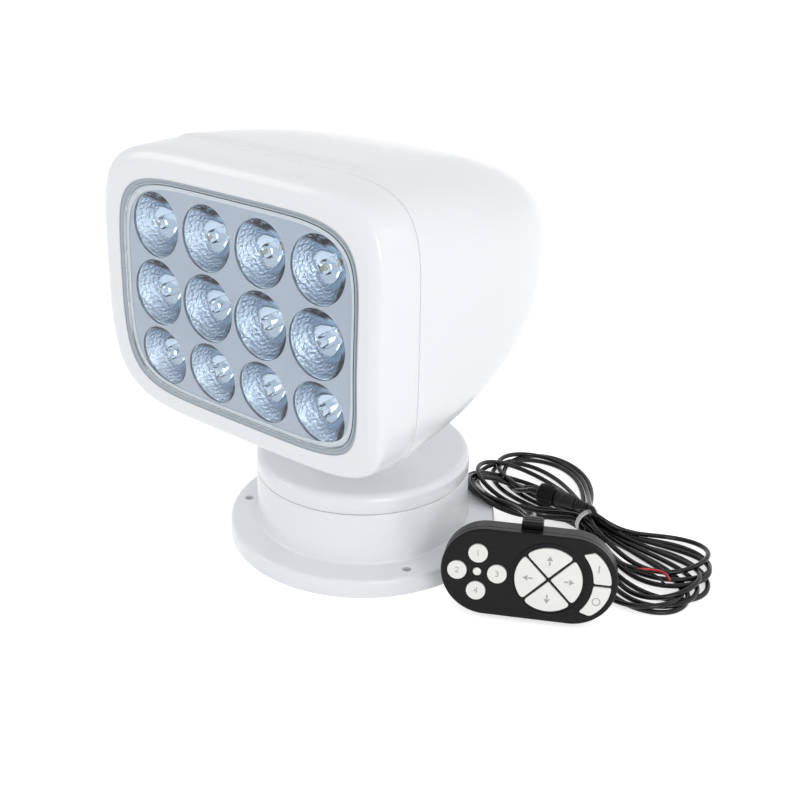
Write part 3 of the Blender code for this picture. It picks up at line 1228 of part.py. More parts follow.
def smooth_points(points, steps, closed=False):
    """Catmull-Rom curve through the points."""
    count = len(points)
    vectors = [Vector(point) for point in points]
    spans = range(count if closed else count - 1)
    result = []
    for i in spans:
        if closed:
            a, b, c, d = (vectors[(i + k - 1) % count] for k in range(4))
        else:
            b, c = vectors[i], vectors[i + 1]
            a = vectors[i - 1] if i else b * 2 - c
            d = vectors[i + 2] if i + 2 < count else c * 2 - b
        for k in range(steps):
            t = k / steps
            point = (b * 2 + (c - a) * t + (a * 2 - b * 5 + c * 4 - d) * t ** 2 + (b * 3 - a - c * 3 + d) * t ** 3) / 2
            result.append(tuple(point))
    if not closed:
        result.append(tuple(vectors[-1]))
    return result


def tube(name, points, diameter, finish):
    curve = bpy.data.curves.new(name, "CURVE")
    curve.dimensions = "3D"
    spline = curve.splines.new("POLY")
    spline.points.add(len(points) - 1)
    for place, point in zip(spline.points, points):
        place.co = (*point, 1.0)
    curve.bevel_depth = diameter / 2
    curve.bevel_resolution = 2
    curve.use_fill_caps = True
    curve.materials.append(finish)
    made = bpy.data.objects.new(name, curve)
    bpy.context.scene.collection.objects.link(made)
    return made


HANK_OUTLINE = (
    (112, 89), (96, 105), (76, 121), (54, 134), (34, 139), (21, 132), (20, 115), (28, 93), (38, 72), (47, 55),
    (60, 45), (74, 48), (88, 57), (104, 68), (117, 71.5), (130, 66), (146, 48), (160, 34), (177, 25), (193, 27),
    (201, 42), (203, 60), (196, 78), (182, 90), (165, 97), (148, 97), (132, 92), (122, 89))


def upright_at(builder, point, degrees):
    """Turns a part made along Z until it lies level along a heading, and puts it at a point."""
    bmesh.ops.rotate(builder, verts=builder.verts, matrix=Matrix.Rotation(math.pi / 2, 3, "Y"))
    bmesh.ops.rotate(builder, verts=builder.verts, matrix=Matrix.Rotation(math.radians(degrees), 3, "Z"))
    return moved(builder, *point)


LEAD_ROUTE = (
    (0.12945, -0.0066, 0.0538), (0.1240, 0.0036, 0.0517), (0.1170, 0.0150, 0.0450), (0.1090, 0.0270, 0.0340),
    (0.1000, 0.0380, 0.0246), (0.0900, 0.0485, 0.0212), (0.0820, 0.0570, 0.02085), (0.0780, 0.0610, 0.02085))
CORE_ROUTE = ((0.168, 0.0516, 0.0093), (0.1749, 0.0568, 0.0093), (0.1822, 0.058, 0.0093), (0.1886, 0.0531, 0.0093))


def make_hank():
    outline = smooth_points([(x * MM, y * MM, 0) for x, y in HANK_OUTLINE], 2, True)
    builder = extruded([(x, y) for x, y, z in outline], 0, HANK_H)
    bevelled(builder, HANK_EDGE_R, 1, rim_edges_at(HANK_H))
    hank = add_object("cable_bundle", builder, black_rubber())
    clear = turned([(0, -10 * MM), (FLANGE_R + 2 * GAP, -10 * MM), (FLANGE_R + 2 * GAP, FLANGE_H + GAP),
                    (DRUM_R + 2 * GAP, FLANGE_H + GAP), (DRUM_R + 2 * GAP, CAP_TOP_Z), (0, CAP_TOP_Z)], ROUND_STEPS, False)
    combine(hank, clear, "DIFFERENCE")
    low_lobe = block((LOW_LOBE_X, 0, LOW_LOBE_H), (2 * LOW_LOBE_X, LOW_LOBE_X, 2 * HANK_H))
    combine(hank, low_lobe, "DIFFERENCE")
    plug_l = PLUG_NUT_L + PLUG_BODY_L + PLUG_TAIL_L
    reach = PLUG_NUT_R + 2 * GAP
    pocket = block((-reach, -reach, -2 * GAP), (30 * MM, reach, plug_l + 2 * GAP))
    bmesh.ops.rotate(pocket, verts=pocket.verts, matrix=Matrix.Rotation(math.pi, 3, "Z"))
    combine(hank, upright_at(pocket, PLUG_POINT, PLUG_ANGLE), "DIFFERENCE")
    waist = (*TIE_POINT, TIE_R + TIE_T + GAP)
    half_w = TIE_W / 2 + GAP
    groove = turned([(TIE_R - GAP, -half_w), (30 * MM, -half_w), (30 * MM, half_w), (TIE_R - GAP, half_w)], 16)
    combine(hank, upright_at(groove, waist, TIE_ANGLE), "DIFFERENCE")

    band = turned([(TIE_R, -TIE_W / 2), (TIE_R + TIE_T, -TIE_W / 2), (TIE_R + TIE_T, TIE_W / 2), (TIE_R, TIE_W / 2)], 16)
    add_object("cable_tie", upright_at(band, waist, TIE_ANGLE), white_key())
    nut = cylinder(PLUG_NUT_R, 0, PLUG_NUT_L, segments=12)
    add_object("connector_nut", upright_at(nut, PLUG_POINT, PLUG_ANGLE), black_plastic())
    start, end = PLUG_NUT_L + GAP, PLUG_NUT_L + GAP + PLUG_BODY_L
    profile = [(0, start), (PLUG_BODY_R, start), (PLUG_BODY_R, end), (CABLE_D / 2 + 0.8 * MM, end + PLUG_TAIL_L - GAP),
               (0, end + PLUG_TAIL_L - GAP)]
    add_object("connector_body", upright_at(turned(profile, 12, False), PLUG_POINT, PLUG_ANGLE), black_rubber())
    tube("cable_lead", smooth_points(LEAD_ROUTE, 5), CABLE_D, black_rubber())
    tube("power_core", smooth_points(CORE_ROUTE, 4), CORE_D, material("red_insulation", (0.6, 0.02, 0.03), 0.4))


def main():
    for item in list(bpy.data.objects):
        bpy.data.objects.remove(item, do_unlink=True)
    make_base_housing()
    make_bottom_cover()
    make_grommet()
    make_control_board()
    make_rotary_seal()
    make_pan_spindle()
    make_pan_gear()
    make_pan_bearing()
    make_spindle_nut()
    turret = add_axis("pan_axis", (0, 0, 0))
    make_turntable(turret)
    make_pan_motor(turret)
    make_pan_pinion(turret)
    make_turret_cap(turret)
    make_yoke(turret)
    make_tilt_axle(turret)
    make_axle_caps(turret)
    make_tilt_gear(turret)
    head = add_axis("tilt_axis", (0, 0, TILT_AXIS_Z))
    make_neck(head)
    make_bushings(head)
    make_tilt_motor(head)
    make_tilt_pinion(head)
    make_head_shell(head)
    make_shell_seal(head)
    make_bezel(head)
    make_lens_group(head)
    make_reflector(head)
    make_led_board(head)
    make_heat_sink(head)
    make_remote()
    make_hank()


main()
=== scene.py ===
import math
import bpy
import bmesh
import numpy as np
from mathutils import Matrix, Vector


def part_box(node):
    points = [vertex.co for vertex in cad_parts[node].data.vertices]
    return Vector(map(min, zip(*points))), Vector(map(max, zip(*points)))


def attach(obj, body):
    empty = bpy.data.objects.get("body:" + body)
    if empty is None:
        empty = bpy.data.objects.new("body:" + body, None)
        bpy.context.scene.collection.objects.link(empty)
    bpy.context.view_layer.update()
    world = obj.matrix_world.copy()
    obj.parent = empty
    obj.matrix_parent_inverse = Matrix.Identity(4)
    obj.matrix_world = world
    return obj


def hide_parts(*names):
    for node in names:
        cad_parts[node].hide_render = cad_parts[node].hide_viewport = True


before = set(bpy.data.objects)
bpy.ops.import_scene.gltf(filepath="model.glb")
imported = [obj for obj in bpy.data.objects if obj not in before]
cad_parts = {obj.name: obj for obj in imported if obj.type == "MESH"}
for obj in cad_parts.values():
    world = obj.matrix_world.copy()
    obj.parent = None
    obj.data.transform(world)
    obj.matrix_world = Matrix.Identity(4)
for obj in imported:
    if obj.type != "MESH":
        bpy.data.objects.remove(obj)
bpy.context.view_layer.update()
mm = 0.001
print("frame loaded:", len(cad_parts), "nodes")


def linkObject(name, data):
    made = bpy.data.objects.new(name, data)
    bpy.context.scene.collection.objects.link(made)
    return made


def meshOf(bm, name):
    mesh = bpy.data.meshes.new(name)
    bm.to_mesh(mesh)
    bm.free()
    return mesh


def fillInputs(tree, node, inputs):
    # by name or number, each a constant or another node's output
    for label, value in inputs.items():
        if isinstance(value, bpy.types.NodeSocket):
            tree.links.new(value, node.inputs[label])
        else:
            node.inputs[label].default_value = value


def addNode(tree, kind, inputs):
    node = tree.nodes.new(kind)
    fillInputs(tree, node, inputs)
    return node


def mathNode(tree, operation, *values):
    node = addNode(tree, "ShaderNodeMath", dict(enumerate(values)))
    node.operation = operation
    return node.outputs[0]


def mixNode(tree, kind, factor, a, b):
    node = tree.nodes.new("ShaderNodeMix")
    node.data_type = kind
    fillInputs(tree, node, {"Factor": factor, "A": a, "B": b})
    return node.outputs["Result"]


# camera, floor and light

view = {"azimuth": 39.8255, "elevation": 26.2401, "target": (0.0, 0.0, 0.0744), "distance": 0.71173,
        "lens": 51.786, "shift": (0.0466, 0.0242)}


def addCamera(v):
    az, el = math.radians(v["azimuth"]), math.radians(v["elevation"])
    back = Vector((math.sin(az) * math.cos(el), -math.cos(az) * math.cos(el), math.sin(el)))
    data = bpy.data.cameras.new("photoCamera")
    data.lens, data.sensor_width = v["lens"], 36.0
    data.shift_x, data.shift_y = v["shift"]
    data.clip_start, data.clip_end = 0.01, 100.0
    camera = linkObject("photoCamera", data)
    camera.location = Vector(v["target"]) + back * v["distance"]
    camera.rotation_mode = "QUATERNION"
    camera.rotation_quaternion = (-back).to_track_quat("-Z", "Y")
    bpy.context.scene.camera = camera


studio = {"worldGlow": 0.74, "floorColour": 0.86, "floorLift": 0.6, "floorRadius": 40.0,
          "lamps": (("keyLamp", (1.3, -0.8, 0.6), 0.6, 6.0), ("fillLamp", (-1.5, -1.3, 0.9), 0.8, 4.5),
                    ("sideLamp", (1.3, 0.7, 0.7), 0.8, 1.6))}


def seenDirectly(tree):
    # 1 where the camera, a mirror or glass sees the backdrop
    path = tree.nodes.new("ShaderNodeLightPath")
    seen = mathNode(tree, "MAXIMUM", path.outputs["Is Camera Ray"], path.outputs["Is Glossy Ray"])
    return mathNode(tree, "MAXIMUM", seen, path.outputs["Is Transmission Ray"])


def addStudio(s):
    scene = bpy.context.scene
    scene.view_settings.view_transform = "Standard"
    world = bpy.data.worlds.new("studioWorld")
    scene.world = world
    world.use_nodes = True
    tree = world.node_tree
    strength = mixNode(tree, "FLOAT", seenDirectly(tree), s["worldGlow"], 1.0)
    fillInputs(tree, tree.nodes["Background"], {"Strength": strength, "Color": (1, 1, 1, 1)})
    for name, place, size, power in s["lamps"]:
        data = bpy.data.lights.new(name, "AREA")
        data.size, data.energy = size, power
        lamp = linkObject(name, data)
        lamp.location = place
        lamp.rotation_mode = "QUATERNION"
        lamp.rotation_quaternion = (Vector((0, 0, 0.1)) - Vector(place)).to_track_quat("-Z", "Y")
    bm = bmesh.new()
    bmesh.ops.create_circle(bm, cap_ends=True, segments=64, radius=s["floorRadius"])
    floor = linkObject("studioFloor", meshOf(bm, "studioFloor"))
    floor.data.materials.append(floorPaper(s))


def floorPaper(s):
    paper = bpy.data.materials.new("floorPaper")
    paper.use_nodes = True
    tree = paper.node_tree
    tree.nodes.remove(tree.nodes["Principled BSDF"])
    matt = addNode(tree, "ShaderNodeBsdfDiffuse", {"Color": (s["floorColour"],) * 3 + (1,)})
    lift = mathNode(tree, "MULTIPLY", seenDirectly(tree), s["floorLift"])
    glow = addNode(tree, "ShaderNodeEmission", {"Strength": lift})
    both = addNode(tree, "ShaderNodeAddShader", {0: matt.outputs[0], 1: glow.outputs[0]})
    fillInputs(tree, tree.nodes["Material Output"], {"Surface": both.outputs[0]})
    return paper


addCamera(view)
addStudio(studio)
print("camera and light made")


# finishes

def addGroup(name, inputs, outputs):
    tree = bpy.data.node_groups.new(name, "ShaderNodeTree")
    for label, kind, value in inputs:
        socket = tree.interface.new_socket(name=label, in_out="INPUT", socket_type=kind)
        socket.default_value = value
    for label, kind in outputs:
        tree.interface.new_socket(name=label, in_out="OUTPUT", socket_type=kind)
    return tree, tree.nodes.new("NodeGroupInput"), tree.nodes.new("NodeGroupOutput")


def mouldedSkinGroup():
    # slow waves and a fine orange peel of moulded or painted surfaces, and a patchy gloss
    tree, enter, leave = addGroup("mouldedSkin", [
        ("Vector", "NodeSocketVector", (0, 0, 0)), ("Peel Scale", "NodeSocketFloat", 900.0),
        ("Wave Scale", "NodeSocketFloat", 30.0), ("Peel", "NodeSocketFloat", 0.5), ("Gloss", "NodeSocketFloat", 0.2),
        ("Gloss Spread", "NodeSocketFloat", 0.05)], [("Height", "NodeSocketFloat"), ("Roughness", "NodeSocketFloat")])
    given = enter.outputs
    peel, wave, patch = [addNode(tree, "ShaderNodeTexNoise", {"Vector": given["Vector"], "Scale": scale,
                                                              "Detail": detail}).outputs["Fac"]
                         for scale, detail in ((given["Peel Scale"], 2.0), (given["Wave Scale"], 1.0), (55.0, 4.0))]
    fillInputs(tree, leave, {"Height": mathNode(tree, "MULTIPLY_ADD", peel, given["Peel"], wave),
                             "Roughness": mathNode(tree, "MULTIPLY_ADD", patch, given["Gloss Spread"], given["Gloss"])})
    return tree


def toneDriftGroup():
    # two close tones, drifting over the piece
    tree, enter, leave = addGroup("toneDrift", [
        ("Vector", "NodeSocketVector", (0, 0, 0)), ("Scale", "NodeSocketFloat", 12.0),
        ("Light Tone", "NodeSocketColor", (1, 1, 1, 1)), ("Dark Tone", "NodeSocketColor", (0, 0, 0, 1))],
        [("Color", "NodeSocketColor")])
    given = enter.outputs
    noise = addNode(tree, "ShaderNodeTexNoise", {"Vector": given["Vector"], "Scale": given["Scale"], "Detail": 5.0})
    tone = mixNode(tree, "RGBA", noise.outputs["Fac"], given["Light Tone"], given["Dark Tone"])
    fillInputs(tree, leave, {"Color": tone})
    return tree


# the cups' painted dark reflections: the first two places are in turns round the cup, the heights in shares of its
# wall, noise as stretch, scale, detail; the streak colour is the painted reflection's colour
cupLook = {"places": (0.285, 0.895), "reach": 0.095, "streakHeight": (0.10, 0.26), "streakCut": (0.40, 0.47),
           "streakNoise": ((14.0, 1.6, 1.0), 3.0, 2.0), "paintedReflectionColour": (0.012, 0.008, 0.008),
           "rippleHeight": (0.2, 0.5), "rippleNoise": ((30.0, 5.0, 1.0), 2.0, 3.0), "rippleDepth": 0.0013,
           "rippleStrength": 0.8}


def paintedReflectionGroup(s):
    # a cup's UV holds the turn round its axis and the height up its wall; painted dark reflections, as streaks, gather
    # at two places round it, fine ripples lie all round the upper part of its wall
    tree, enter, leave = addGroup("cupPaintedReflections", [
        ("Vector", "NodeSocketVector", (0, 0, 0)), ("First Place", "NodeSocketFloat", s["places"][0]),
        ("Second Place", "NodeSocketFloat", s["places"][1]), ("Reach", "NodeSocketFloat", s["reach"])],
        [("Streaks", "NodeSocketFloat"), ("Mirror Share", "NodeSocketFloat"), ("Ripples", "NodeSocketFloat")])
    vector = enter.outputs["Vector"]

    def ramp(value, low, high):
        node = addNode(tree, "ShaderNodeMapRange", {"Value": value, "From Min": low, "From Max": high})
        node.interpolation_type = "SMOOTHSTEP"
        return node.outputs["Result"]

    def noise(stretch, scale, detail):
        place = addNode(tree, "ShaderNodeMapping", {"Vector": vector, "Scale": stretch}).outputs["Vector"]
        return addNode(tree, "ShaderNodeTexNoise", {"Vector": place, "Scale": scale, "Detail": detail}).outputs["Fac"]

    turn, height = addNode(tree, "ShaderNodeSeparateXYZ", {0: vector}).outputs[:2]
    places = []
    for label in ("First Place", "Second Place"):
        aside = mathNode(tree, "WRAP", mathNode(tree, "SUBTRACT", turn, enter.outputs[label]), 0.5, -0.5)
        share = mathNode(tree, "DIVIDE", mathNode(tree, "ABSOLUTE", aside), enter.outputs["Reach"])
        places.append(ramp(share, 1.0, 0.55))
    near = mathNode(tree, "MULTIPLY", mathNode(tree, "MAXIMUM", *places), ramp(height, *s["streakHeight"]))
    # painted reflection: these dark streaks stand in for dark surroundings seen in the mirror
    streaks = mathNode(tree, "MULTIPLY", near, ramp(noise(*s["streakNoise"]), *s["streakCut"]))
    ripples = mathNode(tree, "MULTIPLY", noise(*s["rippleNoise"]), ramp(height, *s["rippleHeight"]))
    # the painted dark reflections also take the metal away where they lie
    mirrorShare = mathNode(tree, "SUBTRACT", 1.0, streaks)
    fillInputs(tree, leave, {"Streaks": streaks, "Mirror Share": mirrorShare, "Ripples": ripples})
    return tree


mouldedSkin = mouldedSkinGroup()
toneDrift = toneDriftGroup()
cupPaintedReflections = paintedReflectionGroup(cupLook)


def groupNode(tree, group, inputs):
    node = tree.nodes.new("ShaderNodeGroup")
    node.node_tree = group
    fillInputs(tree, node, inputs)
    return node


def makeFinish(name, light, dark, gloss, spread=0.05, peel=0.4, peelScale=900.0, bump=0.00002, toneScale=12.0,
               metallic=0.0, coat=0.0, coatRough=0.05, transmission=0.0, ior=1.5, specular=0.5):
    made = bpy.data.materials.new(name)
    made.use_nodes = True
    tree = made.node_tree
    place = tree.nodes.new("ShaderNodeTexCoord").outputs["Object"]
    skin = groupNode(tree, mouldedSkin, {"Vector": place, "Peel Scale": peelScale, "Peel": peel,
                                         "Gloss": gloss - spread / 2, "Gloss Spread": spread})
    tone = groupNode(tree, toneDrift, {"Vector": place, "Scale": toneScale, "Light Tone": (*light, 1),
                                       "Dark Tone": (*dark, 1)})
    raised = addNode(tree, "ShaderNodeBump", {"Height": skin.outputs["Height"], "Distance": bump, "Strength": 1.0})
    fillInputs(tree, tree.nodes["Principled BSDF"], {
        "Normal": raised.outputs["Normal"], "Base Color": tone.outputs["Color"], "Roughness": skin.outputs["Roughness"],
        "Metallic": metallic, "Coat Weight": coat, "Coat Roughness": coatRough, "IOR": ior,
        "Transmission Weight": transmission, "Specular IOR Level": specular})
    return made


def mirrorWithPaintedReflections(made, s):
    # the moulded cups: blue-white mirror with painted dark reflections as streaks, and ripples
    tree = made.node_tree
    shader = tree.nodes["Principled BSDF"]
    place = tree.nodes.new("ShaderNodeUVMap")
    place.uv_map = "UVMap"
    streaks = groupNode(tree, cupPaintedReflections, {"Vector": place.outputs["UV"]}).outputs
    plain = shader.inputs["Base Color"].links[0].from_socket
    # painted reflection: a near-black is mixed into the mirror's colour along the streaks, and the metal is turned off
    # there
    colour = mixNode(tree, "RGBA", streaks["Streaks"], plain, (*s["paintedReflectionColour"], 1))
    raised = addNode(tree, "ShaderNodeBump", {"Height": streaks["Ripples"], "Distance": s["rippleDepth"],
                                              "Strength": s["rippleStrength"]})
    fillInputs(tree, shader, {"Base Color": colour, "Metallic": streaks["Mirror Share"], "Normal": raised.outputs["Normal"]})


# light tone, dark tone, roughness, and what departs from the defaults above
recipes = {
    "whiteGloss": ((0.83, 0.842, 0.868), (0.82, 0.834, 0.862), 0.30,
                   {"spread": 0.02, "peel": 0.3, "bump": 0.000006, "toneScale": 6.0, "coat": 0.35, "coatRough": 0.10}),
    "blackSatin": ((0.008, 0.008, 0.009), (0.005, 0.005, 0.006), 0.36,
                   {"peel": 1.0, "peelScale": 2600, "bump": 0.00002, "specular": 0.18}),
    "cableSheath": ((0.006, 0.006, 0.0065), (0.003, 0.003, 0.0035), 0.20,
                    {"peel": 0.5, "peelScale": 1500, "bump": 0.00001, "specular": 0.34}),
    "keyWhite": ((0.86, 0.855, 0.835), (0.83, 0.825, 0.805), 0.42, {"bump": 0.000008}),
    "keyMark": ((0.42, 0.42, 0.42), (0.36, 0.36, 0.36), 0.5, {}),
    "satinSilver": ((0.44, 0.50, 0.57), (0.36, 0.42, 0.49), 0.40, {"metallic": 0.6, "peel": 0.6}),
    "mirrorChrome": ((0.50, 0.60, 0.71), (0.38, 0.47, 0.58), 0.05,
                     {"spread": 0.02, "peel": 0.1, "metallic": 1.0, "bump": 0.00001}),
    "clearLens": ((0.98, 0.99, 1.0), (0.97, 0.985, 1.0), 0.015,
                  {"spread": 0.01, "peel": 0.0, "bump": 0.000002, "transmission": 1.0, "ior": 1.25}),
    "clearDome": ((0.98, 0.99, 1.0), (0.95, 0.97, 1.0), 0.03,
                  {"spread": 0.01, "peel": 0.0, "bump": 0.000002, "transmission": 1.0, "ior": 1.41}),
    "gasketGrey": ((0.44, 0.49, 0.54), (0.38, 0.43, 0.48), 0.42, {}),
    "gasketPale": ((0.70, 0.75, 0.80), (0.66, 0.71, 0.76), 0.38, {}),
    "boardWhite": ((0.8, 0.8, 0.78), (0.74, 0.74, 0.72), 0.4, {}),
    "boardGreen": ((0.02, 0.16, 0.07), (0.015, 0.12, 0.05), 0.35, {}),
    "plainSteel": ((0.62, 0.62, 0.63), (0.54, 0.54, 0.56), 0.3, {"metallic": 1.0}),
    "castAluminium": ((0.72, 0.73, 0.74), (0.64, 0.65, 0.66), 0.42, {"metallic": 1.0, "peel": 1.0}),
    "gearBrass": ((0.78, 0.57, 0.25), (0.7, 0.5, 0.2), 0.28, {"metallic": 1.0}),
    "gearNylon": ((0.78, 0.76, 0.70), (0.72, 0.70, 0.64), 0.48, {}),
    "motorCan": ((0.5, 0.5, 0.51), (0.42, 0.42, 0.44), 0.34, {"metallic": 0.9}),
    "blackRubber": ((0.012, 0.012, 0.013), (0.007, 0.007, 0.007), 0.5,
                    {"peel": 1.0, "peelScale": 1800, "bump": 0.00003, "specular": 0.3}),
    "greySilicone": ((0.34, 0.35, 0.36), (0.3, 0.31, 0.32), 0.6, {}),
    "redSheath": ((0.62, 0.012, 0.02), (0.5, 0.008, 0.012), 0.28, {}),
    "chipAmber": ((0.80, 0.76, 0.62), (0.74, 0.70, 0.56), 0.4, {}),
    "tieWhite": ((0.9, 0.9, 0.89), (0.86, 0.86, 0.85), 0.35, {"peel": 0.6}),
}
finishes = {name: makeFinish(name, light, dark, gloss, **more)
            for name, (light, dark, gloss, more) in recipes.items()}
mirrorWithPaintedReflections(finishes["mirrorChrome"], cupLook)
nodeFinishes = {
    "whiteGloss": ("base_housing", "bottom_cover", "turret_cap", "yoke", "axle_cap_left", "axle_cap_right",
                   "neck_housing", "head_shell", "front_bezel"),
    "blackSatin": ("remote_front_shell", "remote_rear_shell", "cable_clip", "connector_nut"),
    "blackRubber": ("cable_grommet", "rotary_seal", "shell_seal", "connector_body", "cable_lead", "cable_bundle"),
    "keyWhite": ("key_1", "key_2", "key_3", "key_4", "key_right", "key_up", "key_left", "key_down", "key_on",
                 "key_off", "indicator_light"),
    "boardGreen": ("control_board", "driver_board", "remote_board"), "boardWhite": ("led_board",),
    "plainSteel": ("cover_screw_1", "cover_screw_2", "cover_screw_3", "cover_screw_4", "pan_spindle", "pan_bearing",
                   "spindle_nut", "tilt_axle"),
    "castAluminium": ("heat_sink",), "gearBrass": ("pan_pinion", "tilt_pinion"),
    "gearNylon": ("pan_gear", "turntable", "tilt_gear", "bushing_left", "bushing_right"),
    "motorCan": ("pan_motor", "tilt_motor"), "clearLens": ("lens",), "gasketGrey": ("lens_gasket",),
    "satinSilver": ("reflector_plate",), "mirrorChrome": ("reflector_array",), "greySilicone": ("keypad_mat",),
    "redSheath": ("power_core",), "tieWhite": ("cable_tie",)}
for finishName, names in nodeFinishes.items():
    for nodeName in names:
        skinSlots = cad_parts[nodeName].data.materials
        skinSlots.clear()
        skinSlots.append(finishes[finishName])
print("finishes made:", len(finishes))


# shaping helpers

def keepPiece(name, bm, materials, body, replaces=(), sharp=32.0, recalc=True):
    # the mesh becomes a piece that rides on its body, smooth but for its sharp edges
    if recalc:
        bmesh.ops.remove_doubles(bm, verts=bm.verts, dist=1e-7)
        bmesh.ops.recalc_face_normals(bm, faces=bm.faces)
    mesh = meshOf(bm, name)
    for used in materials:
        mesh.materials.append(finishes[used])
    mesh.shade_smooth()
    mesh.set_sharp_from_angle(angle=math.radians(sharp))
    piece = linkObject(name, mesh)
    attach(piece, body)
    if replaces:
        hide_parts(*replaces)
    return piece


def turned(bm, angle, axis="Z"):
    bmesh.ops.rotate(bm, verts=bm.verts, matrix=Matrix.Rotation(angle, 3, axis))
    return bm


def moved(bm, step):
    bmesh.ops.translate(bm, verts=bm.verts, vec=step)
    return bm


def cutPiece(piece, cutter, operation="DIFFERENCE"):
    # Boolean with a throwaway bmesh, applied at once
    bmesh.ops.remove_doubles(cutter, verts=cutter.verts, dist=1e-7)
    bmesh.ops.recalc_face_normals(cutter, faces=cutter.faces)
    tool = linkObject("cutter", meshOf(cutter, "cutter"))
    step = piece.modifiers.new("cut", "BOOLEAN")
    step.operation, step.solver, step.object = operation, "EXACT", tool
    bpy.context.view_layer.update()
    shaped = bpy.data.meshes.new_from_object(piece.evaluated_get(bpy.context.evaluated_depsgraph_get()))
    piece.modifiers.clear()
    piece.data = shaped
    bpy.data.objects.remove(tool)
    shaped.set_sharp_from_angle(angle=math.radians(32))


def startRing(bm, points):
    loop = [bm.verts.new(point) for point in points]
    for a, b in zip(loop, loop[1:] + loop[:1]):
        bm.edges.new((a, b))
    return loop


def nextRing(bm, loop, points):
    edges = [bm.edges.get((a, b)) for a, b in zip(loop, loop[1:] + loop[:1])]
    grown = bmesh.ops.extrude_edge_only(bm, edges=edges)["geom"]
    fresh = {part for part in grown if isinstance(part, bmesh.types.BMVert)}
    made = []
    for vert, point in zip(loop, points):
        mate = next(e.other_vert(vert) for e in vert.link_edges if e.other_vert(vert) in fresh)
        mate.co = point
        made.append(mate)
    return made


def loftRings(rings, closeLoop=False, capStart=False, capEnd=False):
    bm = bmesh.new()
    first = loop = startRing(bm, rings[0])
    for points in rings[1:]:
        loop = nextRing(bm, loop, points)
    if closeLoop:
        edges = [bm.edges.get((a, b)) for ring in (first, loop) for a, b in zip(ring, ring[1:] + ring[:1])]
        bmesh.ops.bridge_loops(bm, edges=edges)
    for wanted, ring in ((capStart, first), (capEnd, loop)):
        if wanted:
            bm.faces.new(ring)
    return bm


def spunProfile(profile, steps, axis="Z", centre=(0, 0, 0), closed=True):
    # profile of (radius, height) points; axis Y makes height run towards -Y, the lamp's front
    bm = bmesh.new()
    verts = [bm.verts.new((r, 0, h)) for r, h in profile]
    for a, b in zip(verts, verts[1:] + (verts[:1] if closed else [])):
        bm.edges.new((a, b))
    bmesh.ops.spin(bm, geom=bm.verts[:] + bm.edges[:], cent=(0, 0, 0), axis=(0, 0, 1), angle=math.tau,
                   steps=steps, use_merge=True)
    bmesh.ops.remove_doubles(bm, verts=bm.verts, dist=1e-7)
    if axis == "Y":
        turned(bm, math.pi / 2, "X")
    return moved(bm, centre)


def scaled(profile):
    return [(r * mm, h * mm) for r, h in profile]


def spunAt(profile, steps, x=0.0, y=0.0, z=0.0, closed=False):
    # profile and centre in millimetres
    return spunProfile(scaled(profile), steps, centre=(x * mm, y * mm, z * mm), closed=closed)


def joinShapes(*shapes):
    whole = shapes[0]
    for part in shapes[1:]:
        mesh = meshOf(part, "part")
        whole.from_mesh(mesh)
        bpy.data.meshes.remove(mesh)
    return whole


def boxShape(low, high, edge=0.0, segments=3):
    bm = bmesh.new()
    bmesh.ops.create_cube(bm, size=1.0)
    size = Vector(high) - Vector(low)
    bmesh.ops.scale(bm, vec=size, verts=bm.verts)
    moved(bm, (Vector(high) + Vector(low)) / 2)
    if edge:
        bmesh.ops.bevel(bm, geom=bm.edges[:], offset=edge, segments=segments, profile=0.5, affect="EDGES",
                        material=-1)
    return bm


def smoothStep(value):
    t = min(max(value, 0.0), 1.0)
    return t * t * (3 - 2 * t)


def throughPoints(points, count):
    # smooth curve through points, as a list of count points
    p = np.array(points, float)
    ends = np.vstack([2 * p[0] - p[1], p, 2 * p[-1] - p[-2]])
    marks = np.linspace(0, len(p) - 1, count)
    made = []
    for mark in marks:
        k = min(int(mark), len(p) - 2)
        t = mark - k
        a, b, c, d = ends[k:k + 4]
        square, cube = 2 * a - 5 * b + 4 * c - d, 3 * b - a - 3 * c + d
        made.append((2 * b + (c - a) * t + square * t * t + cube * t ** 3) / 2)
    return np.array(made)


# cable, coiled and tied

# millimetres here; the turns lie in two lobes on either side of the tie and settle on each other
hank = {"diameter": 3.1, "spacing": 2.6, "waist": (118.4, 80.8, 8.6), "heading": -33, "pinReach": 6,
        "ringRadii": (5.8, 2.65), "ringCounts": (11, 5), "turnLift": 3.4,
        "leftDirections": (196, 154, 184, 148, 166, 190, 152, 174),
        "leftLengths": (84, 104, 90, 106, 101, 84, 107, 95),
        "rightDirections": (-18, -34, -6, -28, -38, -12, -23, -2),
        "rightLengths": (89, 92, 80, 92, 93, 84, 91, 75),
        "leftHalfWidth": 24, "rightHalfWidth": 22, "bulge": 1.6, "steps": 620, "calmSteps": 160, "easeSteps": 30}
leadRoute = [(129.45, -6.6, 53.8), (124.0, 3.6, 51.7), (117.0, 15.0, 45.0), (109.0, 27.0, 34.0),
             (100.0, 38.0, 24.6), (90.0, 48.5, 21.2), (82.0, 57.0, 20.85), (78.0, 61.0, 20.85)]
coreRoute = [(168.0, 51.6, 9.3), (174.9, 56.8, 9.3), (182.2, 58.0, 9.3), (188.6, 53.1, 9.3)]
plug = {"point": (86, 74, 21.5), "angle": 6, "nutR": 6.6, "nutL": 11, "bodyR": 5.2, "bodyL": 13, "tailL": 9,
        "ribs": 20, "tailRings": 4}
baseKeepOut = {"flangeR": 84.6, "flangeH": 11.5, "drumR": 66.6}
remoteKeepOut = {"centre": (137.5, -21.8, 0.0), "yaw": 28.1, "halfLength": 50.0, "back": 22.5}


def heading(degrees):
    a = math.radians(degrees)
    return np.array([math.cos(a), math.sin(a), 0.0])


